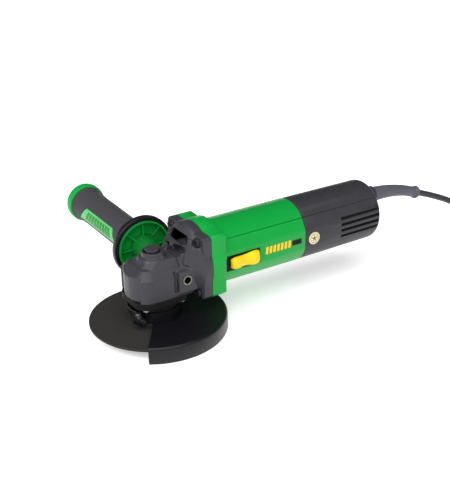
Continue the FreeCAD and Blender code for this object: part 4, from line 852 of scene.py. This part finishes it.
@dataclass
class DiscEnd:
    """The disc with its flanges, and the guard round it."""

    disc_low: float = 8.95
    disc_high: float = 11.35
    disc_radius: float = 62.45
    bore_radius: float = 11.15
    guard_start: float = -124.0
    guard_sweep: float = 184.0
    guard_radius: float = 67.5
    guard_top: float = 15.6
    guard_under: float = 14.0
    guard_mouth: float = 21.75
    sheet_thickness: float = 1.6
    outer_bend: float = 3.0
    inner_bend: float = 1.4
    lever_pivot: tuple[float, float] = (-24.281, -12.91)

    def press_disc(self) -> None:
        """Presses the abrasive disc and dresses what clamps it."""
        edge = self.disc_radius
        low, high, bore = self.disc_low, self.disc_high, self.bore_radius
        profile = [(low, bore), (low, 62.1), (9.3, edge), (11.0, edge), (high, 62.1), (high, bore)]
        disc = turned(SPINDLE, profile, 128)
        finished(disc, "pressed_disc", "spindle_group", ABRASIVE, ("abrasive_disc",))
        for node in ("spindle", "inner_flange", "lock_nut", "gear_retaining_ring", "bevel_gear"):
            dress(node, TURNED_STEEL)

    def form_guard(self) -> None:
        """Forms the guard from one sheet, with a rounded shoulder and a rolled lower edge."""
        outer, thick = self.guard_radius, self.sheet_thickness
        top, bend = self.guard_top, self.outer_bend
        shoulder = []
        for step in range(6):
            turn = math.radians(90.0 * step / 5)
            shoulder.append((top - bend + bend * math.sin(turn), outer - bend + bend * math.cos(turn)))
        under, bend = self.guard_under, self.inner_bend
        inner = []
        for step in range(5):
            turn = math.radians(90.0 * (4 - step) / 4)
            inner.append((under - bend + bend * math.sin(turn), outer - thick - bend + bend * math.cos(turn)))
        profile = [
            (under, self.guard_mouth),
            *inner,
            (1.4, outer - thick),
            (1.1, outer - 2.4),
            (0.3, outer - 2.9),
            (-0.6, outer - 2.5),
            (-0.95, outer - thick),
            (-0.7, outer - 0.5),
            (0.2, outer),
            *shoulder,
            (top, 28.0),
            (top, self.guard_mouth),
        ]
        shell = rounded(turned(SPINDLE, profile, 96, self.guard_start, self.guard_sweep), 0.35, 60.0, 2)
        finished(shell, "formed_guard", "guard", GUARD_BLACK, ("guard_shell",))
        dress("guard_collar", GUARD_BLACK)
        dress("guard_lever_pin", PLAIN_STEEL)

    def form_lever(self) -> None:
        """Forms the release lever: a strip round the collar, a boss round its pin and a thumb piece."""
        x, y = self.lever_pivot
        strip = [(19.4, 24.7), (19.4, 25.9), (27.4, 27.0), (27.4, 25.8)]
        boss = [(19.4, 1.7), (19.4, 3.6), (25.6, 3.6), (25.6, 1.7)]
        out = Vector((x, y, 0.0)).normalized()
        along = Vector((-out.y, out.x, 0.0))
        thumb = [
            tuple(Vector((x, y, z)) + out * sideways + along * forwards)
            for sideways, forwards in ((-3.0, 1.0), (2.6, -1.0), (5.4, 10.4), (3.6, 11.2))
            for z in (19.4, 24.0)
        ]
        pin = Line((x, y, 0.0), (0.0, 0.0, 1.0), (1.0, 0.0, 0.0))
        hole = [(15.0, 0.0), (15.0, 1.7), (30.0, 1.7), (30.0, 0.0)]
        parts = joined(
            turned(SPINDLE, strip, 40, 130.0, 76.0),
            turned(pin, boss, 32),
            carved(hull(thumb), turned(pin, hole, 24)),
        )
        lever = softened(parts, 0.36, 3)
        finished(lever, "release_lever", "guard_release", LEVER_BLACK, ("guard_lever",))

    def build(self) -> None:
        """Makes the disc, the guard and its lever."""
        self.press_disc()
        self.form_guard()
        self.form_lever()


# motor and switch


@dataclass
class MotorEnd:
    """The green motor housing, the switch knob on it and the grey rear cover."""

    flat: float = 30.2
    housing_crease: tuple[float, float] = (66.0, 151.0)
    cover_crease: tuple[float, float] = (149.0, 243.5)
    stroke_count: int = 7
    first_stroke: float = 104.0
    stroke_pitch: float = 4.3
    badge_x: float = 160.6
    badge_radius: float = 6.3
    badge_arms: int = 5

    def crease(self, side: int, start: float, end: float) -> bmesh.types.BMesh:
        """The narrow groove along the line where the round top meets a flat side.

        Args:
            side: 1 for the side handle's side, -1 for the other.
            start: Where it begins along the motor, in millimetres.
            end: Where it ends.

        Returns:
            What is cut away.
        """
        out = Vector((0.0, side * 23.4, 20.6)).normalized()
        across = Vector((0.0, -out.z, out.y)) * 0.42
        corners = []
        for x in (start, end):
            for reach in (30.3, 33.0):
                for way in (-1, 1):
                    corners.append(tuple(Vector((x, 0.0, AXIS_UP)) + out * reach + across * way))
        return hull(corners)

    def mould_housing(self) -> None:
        """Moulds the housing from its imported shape, every edge slightly rounded."""
        grooves = [self.crease(side, *self.housing_crease) for side in (-1, 1)]
        shell = rounded(carved(from_node("motor_housing"), *grooves), 0.3, 28.0, 2)
        finished(shell, "moulded_housing", "housing", HOUSING_GREEN, ("motor_housing",))
        dress("air_baffle", DEEP_BLACK)

    def mould_knob(self) -> None:
        """Moulds the switch knob: a thumb slide with a raised end on each side of its dip."""
        # (x, rise over the flat, lower edge, upper edge) from the front lobe over the dip to the rear lobe
        crown = (
            (64.6, 1.2, 56.2, 63.0), (65.8, 4.2, 54.4, 64.9), (68.6, 5.9, 53.6, 65.6),
            (73.0, 5.8, 53.5, 65.7), (76.6, 3.2, 53.7, 65.4), (80.4, 1.9, 53.7, 65.4),
            (84.2, 3.4, 53.4, 66.0), (87.4, 6.2, 53.0, 66.9), (91.6, 6.8, 53.1, 67.2),
            (95.0, 5.2, 54.0, 66.6), (96.5, 1.2, 56.0, 64.6),
        )
        base = -(self.flat - 0.4)
        # (share of the way up, share of the rise) of the rows that run along the knob
        rows = ((0.0, 0.2), (0.05, 0.72), (0.24, 1.0), (0.76, 1.0), (0.95, 0.72), (1.0, 0.2))

        def spot(along: float, up: float) -> Vector:
            """The point of the knob's skin at a station and a row.

            Args:
                along: The station, as its share of the way along.
                up: The row, as its share of the way up.

            Returns:
                The point, in metres.
            """
            x, rise, low, high = crown[round(along * (len(crown) - 1))]
            across, fullness = rows[round(up * (len(rows) - 1))]
            return Vector((x, base - rise * fullness, low + (high - low) * across)) * MM

        shape = sheet(len(crown) - 1, len(rows) - 1, spot)
        edge = [e for e in shape.edges if e.is_boundary]
        made = bmesh.ops.extrude_edge_only(shape, edges=edge)
        skirt = [v for v in made["geom"] if isinstance(v, bmesh.types.BMVert)]
        for vert in skirt:
            vert.co.y = (base + 0.15) * MM
        bmesh.ops.holes_fill(shape, edges=[e for e in shape.edges if e.is_boundary])
        bmesh.ops.recalc_face_normals(shape, faces=shape.faces)
        knob = finished(
            shape, "thumb_slide", "switch_slide", KNOB_YELLOW, ("switch_knob",), smooth=80.0
        )
        soft = knob.modifiers.new("soft", "SUBSURF")
        soft.levels = soft.render_levels = 2
        # a dark plate 0.7 mm under the flat, showing through the recess round the knob as painted shade for
        # the deep slot
        well = block((58.4, -self.flat + 0.68, 52.2), (97.6, -self.flat + 0.95, 67.6))
        finished(well, "slide_recess_painted_shade", "housing", DEEP_BLACK)
        dress("switch_rod", DEEP_BLACK)
        dress("switch_block", DEEP_BLACK)

    def mark_side(self) -> None:
        """Prints a plain two-coloured mark behind the knob: slanted strokes and a dark bar."""
        strokes = []
        for step in range(self.stroke_count):
            x = self.first_stroke + step * self.stroke_pitch
            strokes.append(hull([(x + dx + (0.6 if z > 62 else 0.0), -self.flat - dy, z)
                                 for z in (58.6, 65.8) for dx in (0.0, 2.6) for dy in (-0.2, 0.12)]))
        finished(joined(*strokes), "side_strokes", "housing", STRIPE_ORANGE)
        bar = block((134.6, -self.flat - 0.12, 59.4), (145.6, -self.flat + 0.2, 64.8))
        finished(bar, "side_bar", "housing", DEEP_BLACK)

    def mould_cover(self) -> None:
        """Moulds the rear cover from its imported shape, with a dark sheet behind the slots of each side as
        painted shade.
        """
        grooves = [self.crease(side, *self.cover_crease) for side in (-1, 1)]
        shell = rounded(carved(from_node("rear_cover"), *grooves), 0.3, 28.0, 2)
        finished(shell, "slotted_cover", "housing", COVER_GREY, ("rear_cover",))
        dress("rear_cover_screw", PLAIN_STEEL)
        # dark sheets just inside the side slots, painted shade for the dark inside of the cover
        shade_sheets = []
        for side in (-1, 1):
            low, high = sorted((side * 27.3, side * 27.6))
            shade_sheets.append(block((192.0, low, 51.0), (241.5, high, 75.5)))
        finished(joined(*shade_sheets), "slot_shade_sheets", "housing", DEEP_BLACK)

    def stick_badge(self) -> None:
        """Sticks on the round badge: a cream disc with a gold ring and a plain five-armed mark."""
        x, edge = self.badge_x, self.badge_radius
        line = Line((x, -self.flat, AXIS_UP - 1.0), (0.0, -1.0, 0.0), (1.0, 0.0, 0.0))
        disc = turned(line, [(-0.2, 0.0), (-0.2, edge), (0.5, edge), (0.62, 6.1), (0.62, 0.0)], 64)
        finished(disc, "round_badge", "housing", FOIL_CREAM, ("badge",))
        ring = turned(line, [(0.5, 4.2), (0.5, 4.8), (0.72, 4.8), (0.72, 4.2)], 64)
        arms = []
        for step in range(self.badge_arms):
            low = (x - 0.6, -self.flat - 0.72, AXIS_UP - 1.0)
            arm = block(low, (x + 0.6, -self.flat - 0.5, AXIS_UP + 2.2))
            turn = Matrix.Rotation(math.radians(360.0 / self.badge_arms * step), 3, "Y")
            bmesh.ops.rotate(arm, verts=arm.verts, cent=Vector(line.origin) * MM, matrix=turn)
            arms.append(arm)
        finished(joined(ring, *arms), "badge_mark", "housing", FOIL_GOLD)

    def build(self) -> None:
        """Makes the housing, the switch, the cover and what is printed or stuck on them."""
        self.mould_housing()
        self.mould_knob()
        self.mark_side()
        self.mould_cover()
        self.stick_badge()


# side handle


@dataclass
class SideHandle:
    """The screwed-in handle: green dish with its black rim, ribbed grip with its label, and green end."""

    label_angles: tuple[float, float] = (149.0, 197.0)
    label_top: tuple[float, float] = (97.0, 157.0)
    label_low: tuple[float, float] = (91.0, 170.0)
    label_columns: int = 26
    label_rows: int = 10
    bar_count: int = 9
    first_bar: float = 0.10
    bar_pitch: float = 0.088
    bar_width: float = 0.058

    def grip_radius(self, along: float) -> float:
        """The grip's radius.

        Args:
            along: How far along the handle, in millimetres.

        Returns:
            The radius in millimetres.
        """
        if along < 74.3:
            return 15.5 + (along - 66.3) / 8.0
        if along < 163.0:
            return 16.5 + 0.3 * (along - 74.3) / 88.7
        return 16.8 + 1.4 * ((along - 163.0) / 25.0) ** 1.5

    def mould_grip(self) -> None:
        """Moulds the grip, its surface ringed by shallow grooves at both ends."""
        profile = [(66.3, 11.1)]
        for step in range(62):
            along = 66.5 + 1.99 * step
            groove = 0.5 if step in (3, 57, 59) else 0.0
            profile.append((along, self.grip_radius(along) - groove))
        profile.append((187.9, 11.1))
        grip = turned(HANDLE, profile, 96)
        finished(grip, "ribbed_grip", "side_handle", GRIP_GREY, ("handle_grip",))

    def inlay_label(self) -> None:
        """Lets in the slanting green label, a plate that carries plain upright bars."""
        first, last = self.label_angles

        def spot(across: float, along: float, lift: float) -> Vector:
            """A point of the label.

            Args:
                across: Its share of the way round the grip.
                along: Its share of the way along the grip.
                lift: Its height over the grip in millimetres.

            Returns:
                The point, in metres.
            """
            angle = math.radians(first + (last - first) * across)
            low = self.label_top[0] + (self.label_low[0] - self.label_top[0]) * across
            high = self.label_top[1] + (self.label_low[1] - self.label_top[1]) * across
            y = low + (high - low) * along
            reach = self.grip_radius(y) + lift
            return Vector((HANDLE_X + reach * math.cos(angle), y, HANDLE_UP + reach * math.sin(angle))) * MM

        def patch(
            across: tuple[float, float], along: tuple[float, float], lift: float, cuts: int
        ) -> bmesh.types.BMesh:
            """A curved plate that covers part of the label.

            Args:
                across: The shares between which it lies round the grip.
                along: The shares between which it lies along the grip.
                lift: Its height over the grip in millimetres.
                cuts: Faces along it.

            Returns:
                The mesh, which reaches from inside the grip to that height.
            """
            shape = sheet(self.label_rows, cuts, lambda a, b: spot(
                across[0] + (across[1] - across[0]) * a, along[0] + (along[1] - along[0]) * b, lift))
            bmesh.ops.recalc_face_normals(shape, faces=shape.faces)
            middle = Vector(HANDLE.origin) * MM
            face = next(iter(shape.faces))
            outwards = face.calc_center_median() - middle
            outwards.y = 0.0
            if face.normal.dot(outwards) < 0:
                bmesh.ops.reverse_faces(shape, faces=shape.faces)
            bmesh.ops.solidify(shape, geom=shape.faces, thickness=1.2 * MM)
            bmesh.ops.recalc_face_normals(shape, faces=shape.faces)
            return shape

        plate = rounded(patch((0.0, 1.0), (0.0, 1.0), 0.25, self.label_columns), 0.2, 50.0, 2)
        finished(plate, "label_plate", "side_handle", LABEL_GREEN)
        bars = []
        for step in range(self.bar_count):
            start = self.first_bar + step * self.bar_pitch
            bars.append(patch((0.16, 0.82), (start, start + self.bar_width), 0.55, 2))
        finished(joined(*bars), "label_bars", "side_handle", LABEL_RAISED)

    def mould_ends(self) -> None:
        """Moulds the dish with its ribs, the black rim and the green end cap; the dish carries painted light
        and shade, the housing's green on the rib fronts and a darker green elsewhere.
        """
        dish = rounded(from_node("handle_core"), 0.3, 28.0, 2)
        for face in dish.faces:
            # painted light and shade: faces that face the tool and lie nearer than 62.5 mm (rib fronts, hub)
            # get the housing's green as painted highlight, all others, the deep dish floor among them, the
            # darker green as painted shade
            face.material_index = int(face.normal.y < -0.85 and face.calc_center_median().y < 0.0625)
        piece = finished(dish, "ribbed_dish", "side_handle", DISH_SHADE_GREEN, ("handle_core",))
        piece.data.materials.append(HOUSING_GREEN.material())
        rim_profile = [
            (58.6, 26.95), (58.6, 29.9), (58.9, 30.6), (59.6, 31.05), (60.6, 31.1), (64.0, 31.1),
            (65.0, 30.6), (65.7, 29.6), (66.3, 28.0), (66.3, 11.1), (64.35, 11.1), (64.35, 26.95),
        ]
        rim = turned(HANDLE, rim_profile, 96)
        finished(rim, "rubber_rim", "side_handle", RIM_BLACK, ("handle_rim",))
        cap_profile = [
            (188.0, 0.0), (188.0, 18.9), (188.5, 19.7), (189.6, 20.2), (195.0, 20.2), (196.6, 19.9),
            (197.8, 19.0), (198.4, 17.6), (198.6, 15.5), (198.0, 14.6), (196.8, 14.0), (196.6, 0.0),
        ]
        cap = turned(HANDLE, cap_profile, 96)
        finished(cap, "green_end", "side_handle", HOUSING_GREEN, ("handle_end_cap",))
        dress("handle_stud", PLAIN_STEEL)

    def build(self) -> None:
        """Makes the grip, its label and both ends."""
        self.mould_grip()
        self.inlay_label()
        self.mould_ends()


# what is inside


@dataclass
class Inside:
    """The motor and the fittings inside the housings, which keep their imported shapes."""

    def build(self) -> None:
        """Dresses every inner piece in the material that it is made of."""
        finishes = {
            MOTOR_STEEL: ("armature_shaft", "pinion", "pinion_nut", "front_bearing", "rear_bearing"),
            SHEETS: ("stator_core", "armature_core"),
            COPPER: ("stator_windings", "armature_windings"),
            BARS: ("commutator",),
            DEEP_BLACK: ("fan", "cord_clamp"),
            PLAIN_STEEL: ("stator_screws", "brush_springs", "cord_clamp_screws"),
            BRASS: ("brush_holders",),
            CARBON: ("carbon_brushes",),
            CORD_BLACK: ("inner_lead", "bearing_sleeve"),
        }
        for finish, nodes in finishes.items():
            for node in nodes:
                dress(node, finish)


# floor, lights and camera


@dataclass
class Studio:
    """A pale floor, soft light from above and from the front, and the camera."""

    floor_height: float = -1.02
    camera_place: Point = (-369.27, -734.73, 473.78)
    camera_right: Point = (0.84056, -0.5416, -0.01109)
    camera_up: Point = (0.24934, 0.36864, 0.89551)
    camera_back: Point = (-0.48092, -0.75549, 0.44491)
    lens: float = 71.43
    film_width: float = 36.0
    shift: tuple[float, float] = (-0.0371, 0.0174)
    farthest: float = 20.0
    floor_half_width: float = 25.0

    def lay_floor(self) -> None:
        """Lays the floor."""
        shape = bmesh.new()
        bmesh.ops.create_grid(shape, x_segments=2, y_segments=2, size=self.floor_half_width)
        bmesh.ops.translate(shape, vec=(0.0, 0.0, self.floor_height * MM), verts=shape.verts)
        mesh = bpy.data.meshes.new("floor")
        shape.to_mesh(mesh)
        shape.free()
        floor = placed("floor", mesh)
        mesh.materials.append(FLOOR_PALE.material())

    def hang_light(self, name: str, power: float, softness: float, towards: Vector) -> None:
        """Hangs a far light that falls evenly on the whole floor.

        Args:
            name: The light's name.
            power: Its strength in watts per square metre.
            softness: How wide it looks from the tool, in degrees.
            towards: The direction from the tool to it.
        """
        lamp = bpy.data.lights.new(name, "SUN")
        lamp.energy = power
        lamp.angle = math.radians(softness)
        light = placed(name, lamp)
        light.rotation_euler = towards.to_track_quat("Z", "Y").to_euler()

    def set_camera(self) -> None:
        """Sets the camera where the tool is seen from its front near corner."""
        data = bpy.data.cameras.new("camera")
        data.sensor_width = self.film_width
        data.lens = self.lens
        data.shift_x, data.shift_y = self.shift
        data.clip_end = self.farthest
        camera = placed("camera", data)
        columns = Matrix((self.camera_right, self.camera_up, self.camera_back)).transposed()
        camera.matrix_world = Matrix.Translation(Vector(self.camera_place) * MM) @ columns.to_4x4()
        bpy.context.scene.camera = camera

    def light_surroundings(self) -> None:
        """Surrounds the tool with light that fades towards the far side."""
        world = bpy.data.worlds.new("surroundings")
        world.use_nodes = True
        tree = world.node_tree
        sky = tree.nodes["Background"]
        sky.inputs["Color"].default_value = (1.0, 1.0, 1.0, 1.0)
        way = tree.nodes.new("ShaderNodeTexCoord")
        behind = tree.nodes.new("ShaderNodeVectorMath")
        behind.operation = "DOT_PRODUCT"
        behind.inputs[1].default_value = (0.54, 0.84, 0.1)
        fade = tree.nodes.new("ShaderNodeMapRange")
        fade.inputs["From Min"].default_value = -0.5
        fade.inputs["From Max"].default_value = 0.6
        fade.inputs["To Min"].default_value = 0.8
        fade.inputs["To Max"].default_value = 0.05
        tree.links.new(way.outputs["Generated"], behind.inputs[0])
        tree.links.new(behind.outputs["Value"], fade.inputs["Value"])
        tree.links.new(fade.outputs["Result"], sky.inputs["Strength"])
        bpy.context.scene.world = world

    def build(self) -> None:
        """Sets the camera, the floor, the lights and the surroundings."""
        self.set_camera()
        self.lay_floor()
        self.light_surroundings()
        bpy.context.scene.view_settings.view_transform = "Standard"
        self.hang_light("tent", 2.3, 70.0, Vector((-0.25, -0.35, 1.0)))
        self.hang_light("key", 1.1, 25.0, Vector((-0.9, -0.15, 0.9)))


def main() -> None:
    """Builds the studio, the cord and then the tool from its front to its rear."""
    logging.basicConfig(level=logging.INFO, format="%(name)s: %(message)s")
    for part in (Studio(), SupplyCord(), GearHead(), DiscEnd(), MotorEnd(), SideHandle(), Inside()):
        log.info("building %s", type(part).__name__)
        part.build()


if __name__ == "__main__":
    main()
